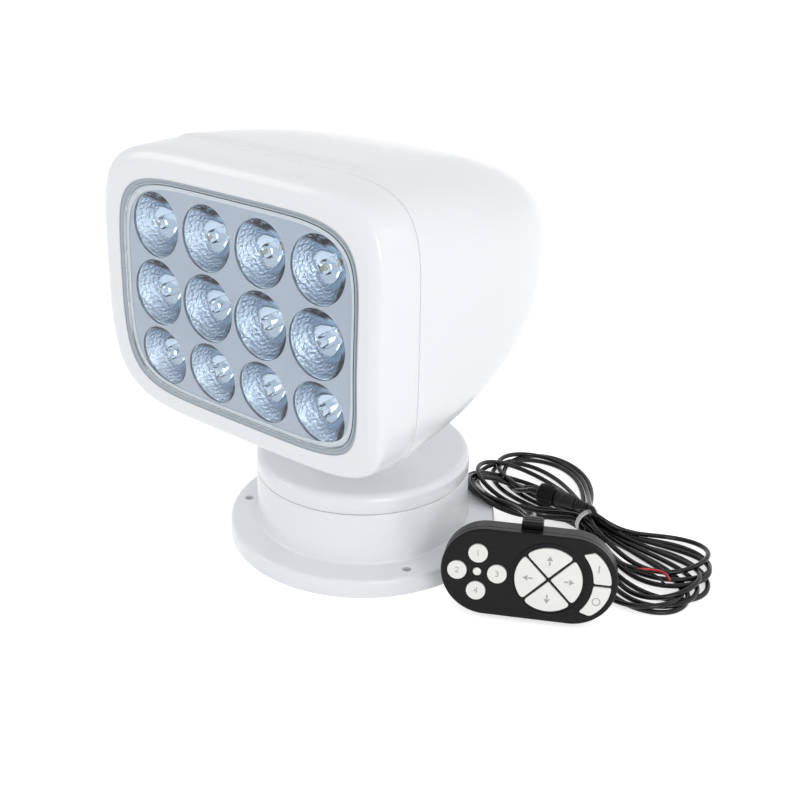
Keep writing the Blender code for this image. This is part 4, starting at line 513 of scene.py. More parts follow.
def evenlySpaced(points, spacing):
    fine = throughPoints(points, 24 * len(points))
    along = np.concatenate([[0], np.cumsum(np.linalg.norm(np.diff(fine, axis=0), axis=1))])
    marks = np.linspace(0, along[-1], int(round(along[-1] / spacing)) + 1)
    return np.stack([np.interp(marks, along, fine[:, k]) for k in range(3)], axis=1)


def waistPlaces(h):
    places = []
    for radius, count in zip(h["ringRadii"], h["ringCounts"]):
        angles = [math.tau * (k + 0.5) / count - math.pi / 2 for k in range(count)]
        places += [(radius * math.cos(a), radius * math.sin(a)) for a in angles]
    places.sort(key=lambda place: place[1])
    return [sorted(places[k:k + 2]) for k in range(0, len(places), 2)]


def lobePoints(h, towards, reach, half, level, farSide):
    # the side away from the remote bulges more
    out, across, middle = heading(towards), heading(towards + 90), np.array([*h["waist"][:2], level])
    shape = ((0.50, -0.80), (0.84, -0.86), (1.0, 0.0), (0.84, 0.86), (0.50, 0.80))
    return [middle + out * reach * a + across * half * b * (h["bulge"] if b * farSide > 0 else 1.0) for a, b in shape]


def planCords(h):
    waist, ahead, side = np.array(h["waist"]), heading(h["heading"]), heading(h["heading"] + 90)
    places, up = waistPlaces(h), np.array([0, 0, 1.0])

    def through(turn, which, way):
        across, lift = places[turn][which]
        middle = waist + side * across + up * lift
        return [middle + way * ahead * reach for reach in (-h["pinReach"], 0, h["pinReach"])]

    turns = len(h["leftDirections"])
    route = [np.array(point) for point in leadRoute]
    for turn in range(turns):
        level = h["diameter"] / 2 + h["turnLift"] * turn
        left = lobePoints(h, h["leftDirections"][turn], h["leftLengths"][turn], h["leftHalfWidth"], level, -1)
        right = lobePoints(h, h["rightDirections"][turn], h["rightLengths"][turn], h["rightHalfWidth"], level, 1)
        route += (left if turn else left[2::-1]) + through(turn, 0, 1) + right
        if turn < turns - 1:
            route += through(turn, 1, -1)
    nose, along = np.array(plug["point"], float), heading(plug["angle"])
    tail = nose + along * (plug["nutL"] + plug["bodyL"] + plug["tailL"])
    route += [waist + ahead * 26 + side * 4 + up * 12.5, waist + ahead * 12 + side + up * 13, tail + along * 4, tail]
    power = [nose - along * 0.5, nose - along * 7, nose + np.array([-15, 0.5, -1.5]), nose + np.array([-28, 7, -3]),
             nose + np.array([-34, 21, -2]), nose + np.array([-24, 33, 0]), nose + np.array([-8, 32, 2]),
             nose + np.array([10, 22, 0])] + through(turns - 1, 1, 1)
    power += [np.array(point) for point in ((136, 63, 14.5), (150, 53, 12), (160, 50, 10), coreRoute[0])]
    return evenlySpaced(route, h["spacing"]), evenlySpaced(power, h["spacing"])


def heldPoints(h, points, atStart, atEnd):
    waist = np.array(h["waist"])
    off = points - waist
    along, across = off @ heading(h["heading"]), off @ heading(h["heading"] + 90)
    held = (np.abs(along) < h["pinReach"] - 2) & (np.hypot(across, off[:, 2]) < 6.4)
    held[:atStart] = True
    held[len(points) - atEnd:] = True
    return held


def pushOut(h, x, free, fromPlug):
    # off the floor, the lamp's base, the remote and the connector
    r = h["diameter"] / 2
    keep = baseKeepOut
    rho = np.maximum(np.hypot(x[:, 0], x[:, 1]), 1e-6)
    low = free & (rho < keep["flangeR"] + r + 0.2) & (x[:, 2] < keep["flangeH"] + r + 0.1)
    lift = low & (x[:, 2] > 7)
    x[lift, 2] += np.minimum(0.5, keep["flangeH"] + r + 0.15 - x[lift, 2])
    out = low & ~lift
    x[out, :2] *= ((keep["flangeR"] + r + 0.2) / rho[out])[:, None]
    drum = free & (rho < keep["drumR"] + r + 0.4)
    x[drum, :2] *= ((keep["drumR"] + r + 0.4) / rho[drum])[:, None]
    x[free & (x[:, 2] < r + 0.05), 2] = r + 0.05
    off, ahead = x - np.array(remoteKeepOut["centre"]), heading(remoteKeepOut["yaw"])
    behind = off @ heading(remoteKeepOut["yaw"] + 90)
    near = free & (np.abs(off @ ahead) < remoteKeepOut["halfLength"]) & (behind < remoteKeepOut["back"] + r)
    x[near] += (remoteKeepOut["back"] + r - behind[near])[:, None] * 0.5 * heading(remoteKeepOut["yaw"] + 90)
    nose, along = np.array(plug["point"], float), heading(plug["angle"])
    nutEnd, bodyEnd = plug["nutL"], plug["nutL"] + plug["bodyL"]
    for a, b, radius in ((0, nutEnd, plug["nutR"]), (nutEnd, bodyEnd, plug["bodyR"]), (bodyEnd, bodyEnd + 5, 3.6)):
        t = np.clip((x - nose) @ along, a, b)
        away = x - nose - t[:, None] * along
        d = np.maximum(np.linalg.norm(away, axis=1), 1e-6)
        hit = free & ~fromPlug & (d < radius + r + 0.15)
        push = away[hit] / d[hit][:, None]
        push[:, 2] = np.minimum(push[:, 2], -0.2)
        push /= np.linalg.norm(push, axis=1, keepdims=True)
        x[hit] += push * np.minimum(0.5, radius + r + 0.15 - d[hit])[:, None]


def settleCords(h, cords, held):
    # lengths, bends, weight and contacts of the turns, worked out together
    x = np.vstack(cords)
    owner = np.concatenate([np.full(len(points), k) for k, points in enumerate(cords)])
    index = np.concatenate([np.arange(len(points)) for points in cords])
    free = ~np.concatenate(held)
    loose = free.astype(float)[:, None]
    home, gap = x.copy(), h["diameter"] * 1.03
    link = np.nonzero(owner[1:] == owner[:-1])[0]
    rest = np.linalg.norm(x[link + 1] - x[link], axis=1)
    near = int(math.ceil(gap / h["spacing"])) + 1
    bends = [(np.nonzero(owner[2 * k:] == owner[:-2 * k])[0] + k, k, w) for k, w in ((1, 0.4), (2, 0.3), (4, 0.25))]
    for step in range(h["steps"] + h["calmSteps"]):
        calm = step >= h["steps"]
        if step % 10 == 0:
            square = (x * x).sum(1)
            a, b = np.nonzero(square[:, None] + square[None, :] - 2 * x @ x.T < (gap + 3.0) ** 2)
            keep = (a < b) & ~((owner[a] == owner[b]) & (np.abs(index[a] - index[b]) < near))
            pairA, pairB = a[keep], b[keep]
        if not calm:
            x[:, 2] -= 0.07 * loose[:, 0]
            x[:, :2] += 0.004 * loose * (home[:, :2] - x[:, :2])
        move = np.zeros_like(x)
        for rows, reach, weight in bends:
            bow = weight * ((x[rows - reach] + x[rows + reach]) / 2 - x[rows])
            move[rows] += 0.5 * bow
            move[rows - reach] -= 0.25 * bow
            move[rows + reach] -= 0.25 * bow
        x += move * loose
        for parity in (0, 1, 0, 1):
            part = index[link] % 2 == parity
            k, span = link[part], rest[part]
            v = x[k + 1] - x[k]
            d = np.linalg.norm(v, axis=1)
            fix = ((d - span) / d / np.maximum(loose[k, 0] + loose[k + 1, 0], 1e-9))[:, None] * v
            x[k] += fix * loose[k]
            x[k + 1] -= fix * loose[k + 1]
        v = x[pairB] - x[pairA]
        d = np.maximum(np.linalg.norm(v, axis=1), 1e-6)
        hit = d < gap
        a, b, v, d = pairA[hit], pairB[hit], v[hit], d[hit]
        push = ((gap - d) / d / np.maximum(loose[a, 0] + loose[b, 0], 1))[:, None] * v * 0.55
        move = np.zeros_like(x)
        np.add.at(move, a, -push * loose[a])
        np.add.at(move, b, push * loose[b])
        x += move * np.minimum(1, 1.0 / np.maximum(np.linalg.norm(move, axis=1, keepdims=True), 1e-9))
        pushOut(h, x, free, (owner == 1) & (index < 14))
    ends = np.cumsum([len(points) for points in cords])
    return [easedLine(x[end - len(points):end], h["easeSteps"]) for points, end in zip(cords, ends)]


def easedLine(line, steps):
    # takes the last small kinks out, all but at the two ends
    for _ in range(steps):
        line[3:-3] += 0.25 * (line[2:-4] + line[4:-2] - 2 * line[3:-3])
    return line


def cordCurve(name, points, diameter, finish, keepEvery=2, sides=3):
    picked = list(points[::keepEvery])
    if not np.allclose(picked[-1], points[-1]):
        picked.append(points[-1])
    data = bpy.data.curves.new(name, "CURVE")
    data.dimensions = "3D"
    spline = data.splines.new("BEZIER")
    spline.bezier_points.add(len(picked) - 1)
    for place, point in zip(spline.bezier_points, picked):
        place.co = Vector(point) * mm
        place.handle_left_type = place.handle_right_type = "AUTO"
    spline.resolution_u = 4
    data.bevel_depth = diameter / 2 * mm
    data.bevel_resolution = sides
    data.use_fill_caps = True
    data.materials.append(finishes[finish])
    piece = linkObject(name, data)
    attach(piece, "base")
    return piece


def routeLength(points):
    return float(np.linalg.norm(np.diff(points, axis=0), axis=1).sum()) * mm


def makeCords(h):
    mainCord, powerLead = planCords(h)
    leadSteps = int((routeLength(np.array(leadRoute)) / mm - 14) / h["spacing"])
    held = [heldPoints(h, mainCord, leadSteps, 2), heldPoints(h, powerLead, 3, 3)]
    mainCord, powerLead = settleCords(h, [mainCord, powerLead], held)
    print("turns settled:", len(mainCord), "points")
    remoteCord = cordCurve("remoteCord", mainCord, h["diameter"], "cableSheath")
    plugLead = cordCurve("plugLead", powerLead, h["diameter"], "cableSheath")
    return remoteCord, mainCord, plugLead, powerLead


remoteCord, mainLine, plugLead, plugLine = makeCords(hank)
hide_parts("cable_lead", "cable_bundle")


def placeLevel(bm, point, degrees):
    # a part made along Z is laid level along a heading at a point
    return moved(turned(turned(bm, math.pi / 2, "Y"), math.radians(degrees)), point)


def makePlug(p):
    point = Vector(p["point"]) * mm
    r, length = p["nutR"], p["nutL"]
    skin = r - 0.35
    nut = spunAt([(1.9, 0.6), (r - 2.0, 0.0), (r - 0.7, 0.0), (skin, 0.35), (skin, 1.4), (skin, length - 1.4),
                  (skin, length - 0.3), (r - 1.0, length), (1.9, length)], 48, closed=True)
    ribs = []
    for k in range(p["ribs"]):
        rib = boxShape((r * mm - 0.0011, -0.00042, 0.0016), (r * mm, 0.00042, (length - 1.6) * mm), 0.00015, 2)
        ribs.append(turned(rib, math.tau * k / p["ribs"]))
    nutPiece = keepPiece("plugNut", placeLevel(joinShapes(nut, *ribs), point, p["angle"]), ["blackSatin"], "base",
                         ["connector_nut"])
    r, start, end = p["bodyR"], length + 0.3, length + 0.3 + p["bodyL"]
    body = [(0, start), (r - 0.6, start), (r, start + 0.6), (r, start + 4.5), (r - 0.5, start + 5.0),
            (r - 0.5, end - 1.2), (r - 1.0, end)]
    for k in range(p["tailRings"]):
        low, ring = end + 0.6 + 2.1 * k, r - 1.5 - 0.42 * k
        body += [(ring - 0.55, low), (ring, low + 0.35), (ring, low + 1.05), (ring - 0.55, low + 1.4)]
    body += [(r - 3.0, end + p["tailL"] - 0.3), (0, end + p["tailL"] - 0.3)]
    bodyPiece = keepPiece("plugBody", placeLevel(spunAt(body, 40), point, p["angle"]), ["blackRubber"], "base",
                          ["connector_body"])
    return nutPiece, bodyPiece


tie = {"radius": 7.4, "thick": 0.9, "wide": 3.4, "edge": 0.2, "turn": 75,
       "head": ((-0.0030, 0.0079, -0.0026), (0.0024, 0.0103, 0.0026), 0.0004)}


def makeTie(t, h):
    inner, outer, half, edge = t["radius"], t["radius"] + t["thick"], t["wide"] / 2, t["edge"]
    band = spunAt([(inner, edge - half), (inner + edge, -half), (outer - edge, -half), (outer, edge - half),
                   (outer, half - edge), (outer - edge, half), (inner + edge, half), (inner, half - edge)],
                  64, closed=True)
    tieHead = turned(boxShape(*t["head"]), math.radians(t["turn"]))
    waist = Vector(h["waist"]) * mm
    keepPiece("hankTie", placeLevel(joinShapes(band, tieHead), waist, h["heading"]), ["tieWhite"], "base",
              ["cable_tie"])


cores = {"diameter": 1.5, "points": 20, "blackSteps": ((0, 0, 0), (6, 1.6, -0.4), (13, 0.6, -0.2), (19, -3.5, 0))}


def makeCores(c):
    red = cordCurve("redCore", throughPoints(coreRoute, c["points"]), c["diameter"], "redSheath", 1)
    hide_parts("power_core")
    blackRoute = [np.array(coreRoute[0]) + np.array(step) for step in c["blackSteps"]]
    black = cordCurve("blackCore", throughPoints(blackRoute, c["points"]), c["diameter"], "cableSheath", 1)
    return red, black


plugNut, plugBody = makePlug(plug)
makeTie(tie, hank)
redCore, blackCore = makeCores(cores)
print("cable and connector made")


# lamp head

head = {"rimHalfW": 0.1009, "rimTop": 0.253, "rimBottom": 0.0976, "rimPower": 5.34, "frameSide": 0.0149,
        "frameTop": 0.0155, "frameBottom": 0.0135, "seamY": -0.078, "gap": 0.0003, "wall": 0.003,
        "rearY": 0.105, "rearZ": 0.1774, "rearPower": 2.3, "sideTaper": (3.43, 1 / 2.68), "topTaper": (1.39, 1 / 3.3),
        "bottomTaper": (2.08, 1 / 1.36), "roofRise": 0.0016, "roofFront": -0.071, "roofRear": 0.062,
        "roofHalfFront": 0.070, "roofHalfRear": 0.038, "roofShoulder": 0.009,
        "neckHalfX": 0.0187, "neckHalfY": 0.0165, "neckTop": 0.127}
face = {"y": -0.1055, "crest": 0.1595, "bendLow": 0.120, "bendHigh": 0.175, "slopeLow": 0.127, "slopeHigh": 0.05}


def faceDrop(height):
    f = face
    rise = (f["slopeHigh"] + f["slopeLow"]) / (f["bendHigh"] - f["bendLow"])
    bend = min(max(height, f["bendLow"]), f["bendHigh"]) - f["bendLow"]
    depth = -f["slopeLow"] * bend + rise * bend * bend / 2 + f["slopeHigh"] * max(0.0, height - f["bendHigh"])
    return depth - f["slopeLow"] * min(0.0, height - f["bendLow"])


def faceY(z):
    return face["y"] + faceDrop(z) - faceDrop(face["crest"])


def squircle(halfW, low, high, power, count):
    # superellipse in X and Z, its points gathered towards the corners
    halfH, middle = (high - low) / 2, (high + low) / 2
    outline = []
    for i in range(count):
        angle = math.tau * (i + 0.5) / count
        even = Vector((math.cos(angle), math.sin(angle)))
        gathered = Vector([math.copysign(abs(part) ** (2 / power), part) for part in even])
        gathered = Vector((gathered.x * halfW, gathered.y * halfH)).normalized()
        c, s = (even + gathered).normalized()
        reach = ((abs(c) / halfW) ** power + (abs(s) / halfH) ** power) ** (-1 / power)
        outline.append((reach * c, middle + reach * s))
    return outline


def rimOutline(inset, count=160):
    h = head
    return squircle(h["rimHalfW"] - inset, h["rimBottom"] + inset, h["rimTop"] - inset, h["rimPower"], count)


def windowOutline(grow, count=160):
    h = head
    return squircle(h["rimHalfW"] - h["frameSide"] + grow, h["rimBottom"] + h["frameBottom"] - grow,
                    h["rimTop"] - h["frameTop"] + grow, h["rimPower"], count)


def roofLift(x, y):
    h = head
    along = (y - h["roofFront"]) / (h["roofRear"] - h["roofFront"])
    halfW = h["roofHalfFront"] + (h["roofHalfRear"] - h["roofHalfFront"]) * min(max(along, 0.0), 1.0)
    sideways = smoothStep((halfW + h["roofShoulder"] - abs(x)) / h["roofShoulder"])
    front = smoothStep((y - h["roofFront"]) / 0.004)
    return h["roofRise"] * sideways * front * (1 - smoothStep((along - 0.35) / 0.65))


def shellSection(s, y, inset, count=160):
    h = head
    side, top, bottom = [max(1 - s ** p, 0.0) ** q for p, q in (h["sideTaper"], h["topTaper"], h["bottomTaper"])]
    halfW = max(h["rimHalfW"] * side - inset, 0.0015)
    high = max(h["rearZ"] + (h["rimTop"] - h["rearZ"]) * top - inset, h["rearZ"] + 0.001)
    low = min(h["rearZ"] - (h["rearZ"] - h["rimBottom"]) * bottom + inset, h["rearZ"] - 0.001)
    section = []
    for x, z in squircle(halfW, low, high, h["rimPower"] + (h["rearPower"] - h["rimPower"]) * s, count):
        section.append((x, y, z + roofLift(x, y) * smoothStep((z - h["rearZ"]) / 0.030)))
    return section


def makeShell(h):
    start, length = h["seamY"] + h["gap"], h["rearY"] - h["seamY"] - h["gap"]
    # stations along the shell, from its open rim to its rear end
    near = [0.012, 0.024, 0.031, 0.038, 0.045, 0.052, 0.06, 0.07, 0.09, 0.12]
    steps = near + [0.12 + 0.875 * math.sin(math.pi / 2 * k / 34) for k in range(1, 35)]
    lip = 0.0006
    outer = [shellSection(0, start, lip), shellSection(0.0012, start + lip * 0.4, lip * 0.25)]
    outer += [shellSection(s, start + s * length, 0) for s in steps]
    inner = [shellSection(s, start + s * (length - h["wall"]), h["wall"])
             for s in (0, 0.2, 0.4, 0.6, 0.8, 0.93, 0.995)]
    bm = loftRings(outer[::-1] + inner, capStart=True, capEnd=True)
    piece = keepPiece("headShell", bm, ["whiteGloss"], "head", ["head_shell"], sharp=50)
    x, y = h["neckHalfX"] + h["gap"], h["neckHalfY"] + h["gap"]
    cutPiece(piece, boxShape((-x, -y, 0), (x, y, h["neckTop"] + h["gap"])))
    return piece


def betweenOutlines(outer, inner, w):
    return [((1 - w) * a[0] + w * b[0], (1 - w) * a[1] + w * b[1]) for a, b in zip(outer, inner)]


def makeBezel(h):
    outer = squircle(h["rimHalfW"] - 0.0009, h["rimBottom"] + 0.001, h["rimTop"] + 0.0002, h["rimPower"], 160)
    inner = windowOutline(0)
    back = h["seamY"] - h["gap"]

    def onFace(w, offset):
        return [(x, faceY(z) + offset, z) for x, z in betweenOutlines(outer, inner, w)]

    def flat(inset, y):
        return [(x, y, z) for x, z in rimOutline(inset)]

    # share of the way inwards, and height over the face
    front = throughPoints([(0.0, 0.006), (0.03, 0.0016), (0.14, -0.0014), (0.45, -0.0032), (0.86, -0.0029),
                           (0.985, -0.0023), (1.0, -0.0016)], 26)
    side = [flat(0.0004, back), flat(0.0001, back - 0.0002), flat(0.0, back - 0.0006)]
    edge, first = flat(0, back - 0.0006), onFace(0, 0.006)
    for t in (0.25, 0.5, 0.75):
        side.append([tuple(a + (b - a) * t for a, b in zip(p, q)) for p, q in zip(edge, first)])
    rings = side + [onFace(w, offset) for w, offset in front]
    rings += [onFace(0.8, -0.0016), onFace(0.8, 0.0036), onFace(0.3, 0.0014), flat(0.003, back - 0.009),
              flat(0.0075, back - 0.006), flat(0.0075, back + 0.008), flat(0.0052, back + 0.008), flat(0.0052, back)]
    return keepPiece("frontBezel", loftRings(rings, closeLoop=True), ["whiteGloss"], "head", ["front_bezel"],
                     sharp=40)


def curvedSheet(grow, front, back, rings=14):
    # plate that follows the curved face, made of shrinking rings
    outline = windowOutline(grow, 128)
    middle = (outline[0][1] + outline[len(outline) // 2][1]) / 2

    def ring(share, offset):
        shrunk = [(x * share, middle + (z - middle) * share) for x, z in outline]
        return [(x, faceY(z) + offset, z) for x, z in shrunk]

    shares = [(1 - k / rings) * 0.999 + 0.001 for k in range(rings)]
    faces = [ring(share, front) for share in reversed(shares)] + [ring(share, back) for share in shares]
    return loftRings(faces, capStart=True, capEnd=True)


optics = {"front": -0.0013, "lensT": 0.002, "lensInset": 0.0032, "lap": 0.0022, "plateT": 0.0014, "gap": 0.0003,
          "columns": 4, "pitchX": 0.0386, "rows": ((0.2107, 0.0177), (0.1730, 0.0185), (0.1355, 0.0174)),
          "throatR": 0.0046, "floorY": -0.0875, "rimLap": 0.00015, "domeR": 0.0039, "domeDepth": 0.0085,
          "rimInset": 0.0033, "rimW": 0.0026, "boardT": 0.0016, "cupSteps": 26, "cupWall": 0.0005,
          "chipHalf": 0.0010}


def cupPlaces(o):
    # X and Z of each cup's axis, and the radius of its mouth
    return [((column - (o["columns"] - 1) / 2) * o["pitchX"], z, r)
            for z, r in o["rows"] for column in range(o["columns"])]


def makeLens(o):
    lens = curvedSheet(-o["lensInset"], o["front"], o["front"] + o["lensT"])
    keepPiece("frontLens", lens, ["clearLens"], "head", ["lens"], sharp=35)
    outer, inner = windowOutline(o["lap"] - o["gap"]), windowOutline(o["gap"] - o["lensInset"])

    def ring(w, offset):
        return [(x, faceY(z) + offset, z) for x, z in betweenOutlines(outer, inner, w)]

    f, t = o["front"], o["lensT"]
    rings = [ring(0, f), ring(0.42, f), ring(0.62, f + 0.0002), ring(0.74, f + 0.0008), ring(0.80, f + 0.0008),
             ring(0.84, f + 0.0002), ring(0.94, f), ring(1, f + 0.0002), ring(1, f + t), ring(0, f + t)]
    keepPiece("lensGasket", loftRings(rings, closeLoop=True), ["gasketGrey"], "head", ["lens_gasket"], sharp=40)
    wide, narrow = windowOutline(-o["rimInset"]), windowOutline(-o["rimInset"] - o["rimW"])
    near, far = f + t + 0.00006, f + t + 0.00022
    rings = [[(x, faceY(z) + y, z) for x, z in outline]
             for outline, y in ((wide, near), (narrow, near), (narrow, far), (wide, far))]
    keepPiece("lensRim", loftRings(rings, closeLoop=True), ["gasketPale"], "head")


def wrapCups(o, bm):
    # U is the turn round the cup's axis, V the height up its wall
    layer = bm.loops.layers.uv.new("UVMap")
    places = cupPlaces(o)
    for part in bm.faces:
        middle = part.calc_center_median()
        x, z, _ = min(places, key=lambda place: (place[0] - middle.x) ** 2 + (place[1] - middle.z) ** 2)
        turn = math.atan2(middle.z - z, middle.x - x) / math.tau % 1.0
        for corner in part.loops:
            co = corner.vert.co
            u = math.atan2(co.z - z, co.x - x) / math.tau
            u += round(turn - u)
            corner[layer].uv = (u, (o["floorY"] - co.y) / (o["floorY"] - faceY(z)))


def makeReflector(o):
    plateFront = o["front"] + o["lensT"] + o["gap"]
    plateBack = plateFront + o["plateT"]
    sheet = curvedSheet(o["lap"] - o["gap"], plateFront, plateBack, 20)
    plate = keepPiece("cupPlate", sheet, ["satinSilver"], "head", ["reflector_plate"], sharp=30)
    cutters = []
    for x, z, r in cupPlaces(o):
        tube = bmesh.new()
        bmesh.ops.create_cone(tube, cap_ends=True, segments=72, radius1=r, radius2=r, depth=0.06)
        cutters.append(moved(turned(tube, math.pi / 2, "X"), (x, faceY(z), z)))
    cutPiece(plate, joinShapes(*cutters))
    cups = []
    for x, z, r in cupPlaces(o):
        mouth = r + o["rimLap"]
        depth = o["floorY"] - (faceY(z) + plateBack)
        widening = (mouth ** 2 - o["throatR"] ** 2) / depth
        heights = [depth * (k / o["cupSteps"]) ** 1.5 for k in range(1, o["cupSteps"] + 1)]
        profile = [(0.0, 0.0), (o["throatR"], 0.0)]
        profile += [(math.sqrt(o["throatR"] ** 2 + widening * height), height) for height in heights]
        cup = spunProfile(profile, 72, "Y", (x, o["floorY"], z), closed=False)
        for vert in cup.verts:
            rise = (o["floorY"] - vert.co.y) / depth
            vert.co.y += (faceY(vert.co.z) - faceY(z)) * max(0.0, rise) ** 3
        cups.append(cup)
    whole = joinShapes(*cups)
    bmesh.ops.remove_doubles(whole, verts=whole.verts, dist=1e-7)
    bmesh.ops.recalc_face_normals(whole, faces=whole.faces)
    bmesh.ops.reverse_faces(whole, faces=whole.faces)
    wrapCups(o, whole)
    cupPiece = keepPiece("mirrorCups", whole, ["mirrorChrome"], "head", ["reflector_array"], sharp=35, recalc=False)
    wall = cupPiece.modifiers.new("wall", "SOLIDIFY")
    wall.thickness, wall.offset = o["cupWall"], -1.0
    outer, inner = windowOutline(o["lap"] - 0.0008), windowOutline(o["lap"] - 0.0025)
    walls = [[(x, faceY(z) + plateBack + o["gap"] if k in (0, 3) else o["floorY"] + 0.0015, z) for x, z in outline]
             for k, outline in enumerate((outer, outer, inner, inner))]
    keepPiece("cupTray", loftRings(walls, closeLoop=True), ["mirrorChrome"], "head", sharp=35)


def makeEmitters(o):
    base = -(o["floorY"] + 0.0018)
    domes, chips, rims = [], [], []
    for x, z, _ in cupPlaces(o):
        radius, top = o["domeR"], -(faceY(z) + o["front"] + o["domeDepth"])
        arc = [(radius * math.cos(a), top + radius * math.sin(a)) for a in np.linspace(0, math.pi / 2, 13)[:-1]]
        profile = [(0, base + 0.0009), (radius, base + 0.0009)] + arc + [(0, top + radius)]
        domes.append(spunProfile(profile, 40, "Y", (x, 0, z), closed=False))
        wide, close = radius + 0.0005, radius + 0.0001
        foot = [(0, base), (wide, base), (wide, base + 0.0012), (close, base + 0.0016), (close, base + 0.0008),
                (0, base + 0.0008)]
        rims.append(spunProfile(foot, 40, "Y", (x, 0, z), closed=False))
        half = o["chipHalf"]
        chips.append(boxShape((x - half, -base - 0.0024, z - half), (x + half, -base - 0.0010, z + half), 0.0001, 1))
    keepPiece("emitterDomes", joinShapes(*domes), ["clearDome"], "head")
    keepPiece("emitterFeet", joinShapes(*rims), ["boardWhite"], "head")
    keepPiece("emitterChips", joinShapes(*chips), ["chipAmber"], "head")
    low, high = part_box("led_board")
    outline = squircle((high[0] - low[0]) / 2, low[2], high[2], head["rimPower"], 128)
    sheet = [[(x, y, z) for x, z in outline] for y in (high[1], high[1] - o["boardT"])]
    keepPiece("emitterBoard", loftRings(sheet, capStart=True, capEnd=True), ["boardWhite"], "head", ["led_board"])


makeShell(head)
makeBezel(head)
makeLens(optics)
makeReflector(optics)
makeEmitters(optics)
print("lamp head made")


# base and turret

# millimetres
base = {"flangeR": 84.6, "flangeH": 11.5, "drumR": 66.6, "drumH": 45.1, "wall": 3.0, "deckZ": 12.0, "deckT": 3.0,
        "coverR": 59.7, "coverT": 2.5, "ledge": 3.0, "recessR": 63.0, "recessH": 6.5, "recessOuter": 80.0,
        "mountR": 2.65, "bossR": 6.0, "mountCircle": 75.0, "mountAngles": (-30, 90, 210), "ribs": 6, "ribT": 2.0,
        "postR": 4.0, "postCircle": 50.0, "screwR": 1.4, "screwHeadR": 3.0, "cableR": 6.5, "cableY": 35.0,
        "boreR": 2.2,
        "spindleR": 5.5, "sealLedge": 36.0, "spigotT": 2.6, "gap": 0.3}
turret = {"low": 45.7, "top": 57.5, "edge": 5.0, "wall": 3.0, "wireR": 5.5, "sealTop": 39.6, "axisZ": 82.0,
          "yokeX": 30.0, "yokeY": 14.0, "footH": 6.2, "cheekT": 9.7, "axleR": 5.0, "axleOver": 2.0, "axleCapR": 8.5,
          "axleCapT": 2.0, "neckX": 18.7, "neckY": 16.5, "neckWall": 3.0, "neckTop": 127.0, "bushingR": 8.0}


def arcPoints(cx, cy, radius, start, end, count):
    return [(cx + radius * math.cos(math.radians(a)), cy + radius * math.sin(math.radians(a)))
            for a in np.linspace(start, end, count)]


def prismShape(outline, low, high, edge=0.0, segments=3, rims=(True, True)):
    # outline in X and Y made solid between two heights, its rims rounded
    ends = [[(x * mm, y * mm, z * mm) for x, y in outline] for z in (low, high)]
    bm = loftRings(ends, capStart=True, capEnd=True)
    chosen = [e for e in bm.edges for z, wanted in zip((low, high), rims)
              if wanted and all(abs(v.co.z - z * mm) < 1e-7 for v in e.verts)]
    if edge:
        bmesh.ops.bevel(bm, geom=chosen, offset=edge * mm, segments=segments, profile=0.5, affect="EDGES",
                        material=-1)
    return bm


def polar(radius, degrees):
    return radius * math.cos(math.radians(degrees)), radius * math.sin(math.radians(degrees))


def postPlaces(b):
    return [polar(b["postCircle"], 45 + 90 * k) for k in range(4)]


def roundPin(radius, low, high, x, y, steps=32):
    return spunAt([(0, low), (radius, low), (radius, high), (0, high)], steps, x, y)


